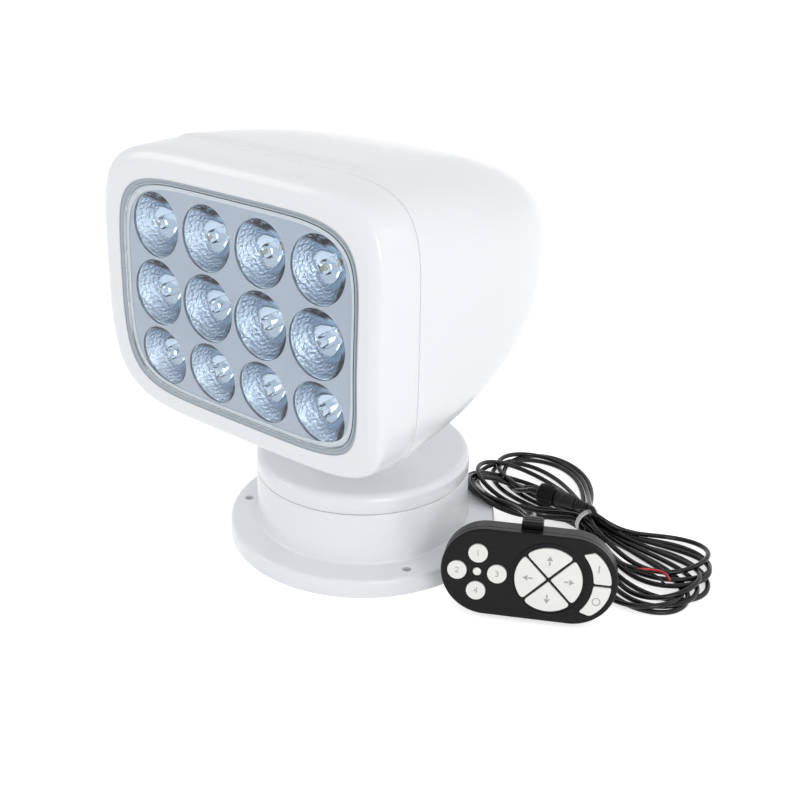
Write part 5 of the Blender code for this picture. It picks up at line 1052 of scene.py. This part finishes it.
def makeHousing(b):
    flangeR, flangeH, drumR, drumH = b["flangeR"], b["flangeH"], b["drumR"], b["drumH"]
    inner, seal, deckZ = drumR - b["wall"], b["sealLedge"], b["deckZ"]
    recessR, recessOuter = b["recessR"], b["recessOuter"]
    deckTop, spigot = deckZ + b["deckT"], inner - b["spigotT"]
    ledgeR, coverR, coverTop = b["coverR"] - b["ledge"], b["coverR"] + b["gap"], b["coverT"] + b["gap"]
    flangeTop = arcPoints(flangeR - 3.0, flangeH - 2.6, 2.6, 20, 90, 9)
    foot = arcPoints(drumR + 1.8, flangeH + 1.8, 1.8, 270, 180, 8)
    profile = [(flangeR - 0.5, 0), (flangeR - 0.1, 0.2), (flangeR, 0.6), (flangeR - 0.2, flangeH - 3.4)]
    profile += flangeTop + foot + [(drumR, drumH - 0.5), (drumR - 0.15, drumH - 0.15), (drumR - 0.5, drumH)]
    profile += [(inner, drumH), (inner, seal), (spigot, seal), (spigot, seal - 4), (inner, seal - 8), (inner, deckTop),
                (b["spindleR"], deckTop), (b["spindleR"], deckZ), (ledgeR, deckZ), (ledgeR, coverTop),
                (coverR, coverTop), (coverR, 0.3), (coverR + 0.3, 0), (recessR - 0.4, 0), (recessR, 0.4),
                (recessR, b["recessH"]), (recessOuter, b["recessH"]), (recessOuter, 0.4), (recessOuter + 0.4, 0)]
    piece = keepPiece("baseHousing", spunAt(profile, 192, closed=True), ["whiteGloss"], "base", ["base_housing"],
                      sharp=40)
    ribs, half = [], b["ribT"] / 2 * mm
    for k in range(b["ribs"]):
        rib = boxShape(((recessR - 1) * mm, -half, 0.0015), ((recessOuter + 1) * mm, half, (b["recessH"] + 1) * mm))
        ribs.append(turned(rib, math.tau * (k + 0.5) / b["ribs"]))
    cutPiece(piece, joinShapes(*ribs), "UNION")
    mounts, posts = [polar(b["mountCircle"], a) for a in b["mountAngles"]], postPlaces(b)
    bosses = [roundPin(b["bossR"], 0, b["recessH"] + 1, x, y) for x, y in mounts]
    bosses += [roundPin(b["postR"], coverTop, deckZ + 1, x, y) for x, y in posts]
    cutPiece(piece, joinShapes(*bosses), "UNION")
    r, top = b["mountR"], flangeH
    hole = [(0, -1), (r, -1), (r, top - 0.5), (r + 0.6, top + 0.1), (r + 0.6, top + 1), (0, top + 1)]
    holes = [spunAt(hole, 40, x, y) for x, y in mounts]
    holes += [roundPin(b["screwR"] + b["gap"], 0, 10, x, y, 24) for x, y in posts]
    cutPiece(piece, joinShapes(*holes))
    return piece


def makeCover(b):
    r, t, gap = b["coverR"], b["coverT"], b["gap"]
    plate = spunAt([(0, 0.35), (20, 0.35), (20.3, 0), (r - 0.4, 0), (r, 0.4), (r, t), (0, t)], 160)
    piece = keepPiece("bottomCover", plate, ["whiteGloss"], "base", ["bottom_cover"], sharp=35)
    top, shank = b["screwHeadR"], b["screwR"]
    wide, through = top + gap, shank + gap
    well = [(0, -1), (wide + 0.3, -1), (wide + 0.3, 0.0), (wide, 0.3), (wide, 1.9), (through, 1.9), (through, t + 1),
            (0, t + 1)]
    screw = [(0, 0.9), (0.75, 0.9), (0.9, 0.3), (top - 0.5, 0.3), (top - 0.1, 0.6), (top, 1.6), (shank, 1.6),
             (shank, 9), (0, 9)]
    holes = [roundPin(b["cableR"] + gap, -1, t + 1, 0, b["cableY"], 48)]
    screws, slots = [], []
    for x, y in postPlaces(b):
        holes.append(spunAt(well, 36, x, y))
        screws.append(spunAt(screw, 36, x, y))
        for turn in (20, 110):
            slot = boxShape((-0.0016, -0.00035, 0), (0.0016, 0.00035, 0.0011))
            slots.append(moved(turned(slot, math.radians(turn)), (x * mm, y * mm, 0)))
    cutPiece(piece, joinShapes(*holes))
    heads = keepPiece("coverScrews", joinShapes(*screws), ["plainSteel"], "base",
                      ["cover_screw_1", "cover_screw_2", "cover_screw_3", "cover_screw_4"])
    cutPiece(heads, joinShapes(*slots[0::2]))
    cutPiece(heads, joinShapes(*slots[1::2]))
    bore, outer = b["boreR"], b["cableR"]
    grommet = [(bore, 0.6), (bore + 0.3, gap), (outer - 0.4, gap), (outer, 0.7), (outer, t + gap),
               (outer + 2.2, t + gap), (outer + 2.2, t + 1.5), (bore + 1.2, t + 3.4), (bore, t + 3.5)]
    keepPiece("cableGrommet", spunAt(grommet, 48, 0, b["cableY"], closed=True), ["blackRubber"], "base",
              ["cable_grommet"])


def makeCap(b, t):
    outer, edge, inner = b["drumR"], t["edge"], b["drumR"] - t["wall"]
    spigotOuter = inner - 2 * b["gap"]
    spigotInner, ceiling = spigotOuter - b["spigotT"], t["top"] - t["wall"]
    profile = [(outer - 0.5, t["low"]), (outer - 0.15, t["low"] + 0.15), (outer, t["low"] + 0.5)]
    profile += arcPoints(outer - edge, t["top"] - edge, edge, 0, 90, 14)
    profile += [(t["wireR"], t["top"]), (t["wireR"], ceiling), (inner - edge, ceiling), (spigotInner, ceiling - 4),
                (spigotInner, t["sealTop"] + b["gap"]), (spigotOuter, t["sealTop"] + b["gap"]),
                (spigotOuter, t["low"])]
    return keepPiece("turretCap", spunAt(profile, 192, closed=True), ["whiteGloss"], "turret", ["turret_cap"],
                     sharp=40)


def turnX(bm, z):
    # X and Y of an outline become Y and Z, and its height runs along X
    turn = Matrix(((0, 0, 1), (1, 0, 0), (0, 1, 0)))
    bmesh.ops.transform(bm, matrix=turn.to_4x4(), verts=bm.verts)
    return moved(bm, (0, 0, z * mm))


def makeYoke(b, t):
    low, x, y = t["top"] + b["gap"], t["yokeX"], t["yokeY"]
    corners = [(x - 5, 5 - y, -90, 0), (x - 5, y - 5, 0, 90), (5 - x, y - 5, 90, 180), (5 - x, 5 - y, 180, 270)]
    outline = [point for cx, cy, a, c in corners for point in arcPoints(cx, cy, 5, a, c, 9)]
    foot = prismShape(outline, low, low + t["footH"], 0.9, 3, (False, True))
    piece = keepPiece("yokeBody", foot, ["whiteGloss"], "turret", ["yoke"], sharp=40)
    drop = t["axisZ"] - low - t["footH"] + 1
    ear = [(-y, -drop), (y, -drop)] + arcPoints(0, 0, y, 0, 180, 40)
    for a, c in ((x - t["cheekT"], x), (-x, t["cheekT"] - x)):
        cutPiece(piece, turnX(prismShape(ear, a, c, 1.0, 3), t["axisZ"]), "UNION")
    cutPiece(piece, turnX(roundPin(t["axleR"] + b["gap"], -2 * x, 2 * x, 0, 0, 40), t["axisZ"]))
    cutPiece(piece, roundPin(t["wireR"], 0, t["axisZ"], 0, 0, 40))
    high = x + t["axleOver"] + b["gap"] + t["axleCapT"]
    bore, deep = t["axleR"] + b["gap"], x + t["axleOver"] + b["gap"]
    profile = [(bore, x + b["gap"]), (t["axleCapR"], x + b["gap"])]
    profile += arcPoints(t["axleCapR"] - 1.4, high - 1.4, 1.4, 0, 80, 7) + [(0, high + 0.1), (0, deep), (bore, deep)]
    for name, node, side in (("axleCapRight", "axle_cap_right", 1), ("axleCapLeft", "axle_cap_left", -1)):
        cap = turned(turnX(spunAt(profile, 56), 0), 0 if side > 0 else math.pi)
        keepPiece(name, moved(cap, (0, 0, t["axisZ"] * mm)), ["whiteGloss"], "turret", [node], sharp=40)


def makeNeck(b, t):
    def column(radius, halfX, top, edge):
        sides = [(-radius, top)] + arcPoints(0, t["axisZ"], radius, 180, 360, 56) + [(radius, top)]
        return turnX(prismShape(sides, -halfX, halfX, edge, 3), 0)

    y, x, top, wall = t["neckY"], t["neckX"], t["neckTop"], t["neckWall"]
    piece = keepPiece("neckHousing", column(y, x, top, 1.2), ["whiteGloss"], "head", ["neck_housing"], sharp=40)
    cutPiece(piece, column(y - wall, x - wall, top - wall, 0))
    cutPiece(piece, turnX(roundPin(t["bushingR"] + b["gap"], -40, 40, 0, 0, 48), t["axisZ"]))


makeHousing(base)
makeCover(base)
makeCap(base, turret)
makeYoke(base, turret)
makeNeck(base, turret)
print("base and turret made")


# remote

# millimetres in the remote's own frame: X along it, Y up its face, Z out of its face
remote = {"centre": (137.5, -21.8, 28.45), "yaw": 28.1, "lean": 10.5, "length": 98.0, "width": 51.0, "depth": 17.6,
          "frontDepth": 5.2, "faceT": 1.8, "wall": 1.8, "edge": 1.4, "backEdge": 3.2, "gap": 0.3,
          "roundX": -28.4, "roundStep": 11.2, "roundR": 5.4, "indicatorR": 2.3,
          "padX": 11.2, "padR": 18.6, "padSplit": 1.5, "padCorner": 1.8, "ringR": 20.0, "ringW": 1.4, "ringH": 0.6,
          "arcInner": 24.6, "arcRim": 3.6, "arcSplit": 1.6, "arcInnerEnd": 43, "arcOuterEnd": 58,
          "proud": 0.9, "bottom": -2.4, "keyEdge": 0.35, "screwX": 34.0, "screwY": 13.0,
          "clipW": 12.0, "clipH": 4.6, "clipD": 9.0, "passageR": 1.85}
remotePlace = (Matrix.Translation([c * mm for c in remote["centre"]])
               @ Matrix.Rotation(math.radians(remote["yaw"]), 4, "Z")
               @ Matrix.Rotation(math.radians(-remote["lean"]), 4, "X") @ Matrix.Rotation(math.pi / 2, 4, "X"))


def onRemote(name, bm, materials, body="base", nodes=(), sharp=35.0):
    bmesh.ops.transform(bm, matrix=remotePlace, verts=bm.verts)
    return keepPiece(name, bm, materials, body, nodes, sharp)


def cutRemote(piece, tool, operation="DIFFERENCE"):
    bmesh.ops.transform(tool, matrix=remotePlace, verts=tool.verts)
    cutPiece(piece, tool, operation)


def pillRing(inset, z, count=48):
    half, radius = (remote["length"] - remote["width"]) / 2, remote["width"] / 2 - inset
    outline = arcPoints(half, 0, radius, -90, 90, count) + arcPoints(-half, 0, radius, 90, 270, count)
    return [(x * mm, y * mm, z * mm) for x, y in outline]


def grownOutline(outline, amount):
    grown = []
    for k, point in enumerate(outline):
        here = Vector(point)
        before, after = here - Vector(outline[k - 1]), Vector(outline[(k + 1) % len(outline)]) - here
        sides = [Vector((way.y, -way.x)).normalized() for way in (before, after)]
        middle = (sides[0] + sides[1]).normalized()
        grown.append(tuple(here + middle * amount / middle.dot(sides[0])))
    return grown


def padOutline(r, degrees):
    # a quarter of the round pad with eased corners
    split = r["padSplit"] / 2
    reach = 45 - math.degrees(math.asin(split / r["padR"]))
    tip, rim = Vector((split * math.sqrt(2), 0)), [Vector(p) for p in arcPoints(0, 0, r["padR"], -reach, reach, 30)]

    def eased(corner, before, after):
        start = corner + (before - corner).normalized() * r["padCorner"]
        end = corner + (after - corner).normalized() * r["padCorner"]
        return [start * (1 - t) ** 2 + corner * 2 * t * (1 - t) + end * t * t for t in np.linspace(0, 1, 8)]

    far = [p for p in rim if (p - rim[0]).length > r["padCorner"] and (p - rim[-1]).length > r["padCorner"]]
    tipEase = [tip + (rim[-1] - tip).normalized() * 0.5, tip + (rim[0] - tip).normalized() * 0.5]
    outline = tipEase[1:] + eased(rim[0], tip, rim[2]) + far + eased(rim[-1], rim[-3], tip) + tipEase[:1]
    turn = Matrix.Rotation(math.radians(degrees), 2)
    return [(r["padX"] + p.x, p.y) for p in (turn @ p for p in outline)]


def arcOutline(r, side):
    # between the circle round the pad and the rounded end of the case, with eased corners
    endX, low = (r["length"] - r["width"]) / 2, r["arcSplit"] / 2
    inner, outer = r["arcInner"], r["width"] / 2 - r["arcRim"]
    near = arcPoints(r["padX"], 0, inner, math.degrees(math.asin(low / inner)), r["arcInnerEnd"], 14)
    far = arcPoints(endX, 0, outer, math.degrees(math.asin(low / outer)), r["arcOuterEnd"], 14)
    outline, eased = [Vector(p) for p in far + near[::-1]], []
    corners = (0, 13, 14, 27)
    for k, point in enumerate(outline):
        if k not in corners:
            eased.append(point)
            continue
        before, after = outline[k - 1] - point, outline[(k + 1) % 28] - point
        a, c = [point + way.normalized() * min(0.9, way.length * 0.6) for way in (before, after)]
        eased += [a * (1 - t) ** 2 + point * 2 * t * (1 - t) + c * t * t for t in (0, 0.25, 0.5, 0.75, 1)]
    return [(p.x, side * p.y) for p in (eased if side > 0 else eased[::-1])]


def keyOutlines(r):
    step, x = r["roundStep"], r["roundX"]
    rounds = {"key_1": (0, step), "key_2": (-step, 0), "key_3": (step, 0), "key_4": (0, -step)}
    outlines = {name: arcPoints(x + dx, dy, r["roundR"], 0, 360, 49)[:-1] for name, (dx, dy) in rounds.items()}
    pads = {"key_right": 0, "key_up": 90, "key_left": 180, "key_down": 270}
    outlines.update({name: padOutline(r, degrees) for name, degrees in pads.items()})
    outlines.update({"key_on": arcOutline(r, 1), "key_off": arcOutline(r, -1)})
    return outlines


def easedRim(edge, z, count):
    # quarter circle that rounds the case's rim off, towards its face where the edge is negative in Z
    return [pillRing(abs(edge) * (1 - math.cos(a)), z + edge * (1 - math.sin(a)))
            for a in np.linspace(0, math.pi / 2, count)]


def makeCase(r):
    edge, back, wall = r["edge"], -r["frontDepth"], r["wall"]
    inside = [pillRing(wall, -r["faceT"]), pillRing(wall, back + 1.0), pillRing(wall - 0.7, back + 0.9),
              pillRing(wall - 0.7, back)]
    outside = [pillRing(0.2, back), pillRing(0.0, back + 0.2)]
    outside += [pillRing(0, z) for z in np.linspace(back + 0.8, -edge - 0.2, 4)] + easedRim(-edge, 0, 9)
    front = onRemote("remoteFace", loftRings(inside + outside, capStart=True, capEnd=True), ["blackSatin"], "base",
                     ["remote_front_shell"])
    low, high = r["ringR"], r["ringR"] + r["ringW"]
    hump = [(low + r["ringW"] * (1 - math.cos(a)) / 2, 0.02 + r["ringH"] * math.sin(a))
            for a in np.linspace(0, math.pi, 11)]
    cutRemote(front, spunAt([(low, -0.4)] + hump + [(high, -0.4)], 120, r["padX"], closed=True), "UNION")
    holes = [prismShape(grownOutline(outline, r["gap"]), -5, 5) for outline in keyOutlines(r).values()]
    holes.append(roundPin(r["indicatorR"] + r["gap"], -5, 5, r["roundX"], 0, 40))
    cutRemote(front, joinShapes(*holes))
    top, deep, edge = back - r["gap"], -r["depth"], r["backEdge"]
    inside = [pillRing(wall, deep + wall), pillRing(wall, top)]
    outside = [pillRing(0.2, top), pillRing(0, top - 0.2)]
    outside += [pillRing(0, z) for z in np.linspace(top - 0.8, deep + edge + 0.2, 4)] + easedRim(edge, deep, 12)
    rear = onRemote("remoteBack", loftRings(inside + outside, capStart=True, capEnd=True), ["blackSatin"], "base",
                    ["remote_rear_shell"])
    well = [(0, -0.5), (3.0, -0.5), (3.0, 0), (2.7, 0.3), (2.7, 1.0), (0, 1.0)]
    screw = [(0, 0.6), (0.5, 0.6), (0.8, 0.35), (1.7, 0.35), (2.2, 0.7), (2.3, 1.3), (0, 1.3)]
    places = [(x, y, deep) for x in (-r["screwX"], r["screwX"]) for y in (-r["screwY"], r["screwY"])]
    cutRemote(rear, joinShapes(*[spunAt(well, 32, *place) for place in places]))
    onRemote("remoteScrews", joinShapes(*[spunAt(screw, 32, *place) for place in places]), ["plainSteel"])


marks = {"numberSize": 5.0, "numberRise": 0.00003, "sink": 0.05, "rise": 0.03,
         "arrow": ((14.2, 0), (11.4, 1.75), (11.4, -1.75)),
         "stem": ((8.6, 0.42), (8.6, -0.42), (11.0, -0.42), (11.0, 0.42)),
         "endX": 38.0, "endY": 9.6, "barHalf": 1.9, "barR": 0.35, "ringIn": 1.75, "ringOut": 2.35}


def asMark(bm):
    for part in bm.faces:
        part.material_index = 1
    return bm


def barShape(outline, m, z):
    return asMark(prismShape(outline, z - m["sink"], z + m["rise"]))


def numberShape(text, x, y, m, z):
    data = bpy.data.curves.new("mark", "FONT")
    data.body, data.size, data.extrude = text, m["numberSize"] * mm, m["numberRise"]
    data.align_x = data.align_y = "CENTER"
    letter = linkObject("mark", data)
    bpy.context.view_layer.update()
    mesh = bpy.data.meshes.new_from_object(letter.evaluated_get(bpy.context.evaluated_depsgraph_get()))
    bm = bmesh.new()
    bm.from_mesh(mesh)
    bpy.data.objects.remove(letter)
    return asMark(moved(bm, (x * mm, y * mm, z * mm)))


def keyMarks(r, m):
    step, x, z = r["roundStep"], r["roundX"], r["proud"]
    made = {"key_" + text: [numberShape(text, x + dx, dy, m, z)]
            for text, dx, dy in (("1", 0, step), ("2", -step, 0), ("3", step, 0), ("4", 0, -step))}
    for name, degrees in (("key_right", 0), ("key_up", 90), ("key_left", 180), ("key_down", 270)):
        turn = Matrix.Rotation(math.radians(degrees), 2)
        arrow, stem = [[(r["padX"] + p.x, p.y) for p in (turn @ Vector(point) for point in m[part])]
                       for part in ("arrow", "stem")]
        made[name] = [barShape(arrow[::-1], m, z), barShape(stem, m, z)]
    bar = arcPoints(m["endX"], m["endY"] + m["barHalf"], m["barR"], 0, 180, 9)
    bar += arcPoints(m["endX"], m["endY"] - m["barHalf"], m["barR"], 180, 360, 9)
    made["key_on"] = [barShape(bar, m, z)]
    low, high = z - m["sink"], z + m["rise"]
    ring = [(m["ringIn"], low), (m["ringOut"], low), (m["ringOut"], high), (m["ringIn"], high)]
    made["key_off"] = [asMark(spunAt(ring, 48, m["endX"], -m["endY"], closed=True))]
    return made


def makeKeys(r):
    made = keyMarks(r, marks)
    for node, outline in keyOutlines(r).items():
        cap = prismShape(outline, r["bottom"], r["proud"], r["keyEdge"], 4, (False, True))
        name = "cap" + node.split("_")[1].capitalize()
        onRemote(name, joinShapes(cap, *made[node]), ["keyWhite", "keyMark"], node, [node], 30)
    radius, high = r["indicatorR"], 0.42
    dome = [(0, r["bottom"]), (radius, r["bottom"]), (radius, 0.0)]
    dome += [(radius * math.cos(a), high * math.sin(a)) for a in np.linspace(0.15, math.pi / 2 - 0.15, 8)]
    onRemote("indicatorLens", spunAt(dome + [(0, high)], 48, r["roundX"]), ["keyWhite"], "base", ["indicator_light"])


def makeClip(r):
    low, back = r["width"] / 2 + r["gap"], 2 - r["depth"]
    high, front = low + r["clipH"], back + r["clipD"]
    x, edge = r["clipW"] / 2, 1.6
    side = [(-x, low), (x, low)] + arcPoints(x - edge, high - edge, edge, 0, 90, 8)
    side += arcPoints(edge - x, high - edge, edge, 90, 180, 8)
    clipPiece = onRemote("cableClip", prismShape(side, back, front, 0.7, 3), ["blackSatin"], "base", ["cable_clip"])
    reach = x * mm + 0.001
    grooves = [boxShape((-reach, (high - 0.7) * mm, z * mm), (reach, (high + 1) * mm, (z + 1.0) * mm), 0.0002)
               for z in (back + 2.6, back + 5.4)]
    cutRemote(clipPiece, joinShapes(*grooves))
    cutRemote(clipPiece, roundPin(r["passageR"], -r["depth"] - 5, -r["depth"] + 5.4, 0, low + r["clipH"] / 2, 40))


makeCase(remote)
makeKeys(remote)
makeClip(remote)
print("remote made")
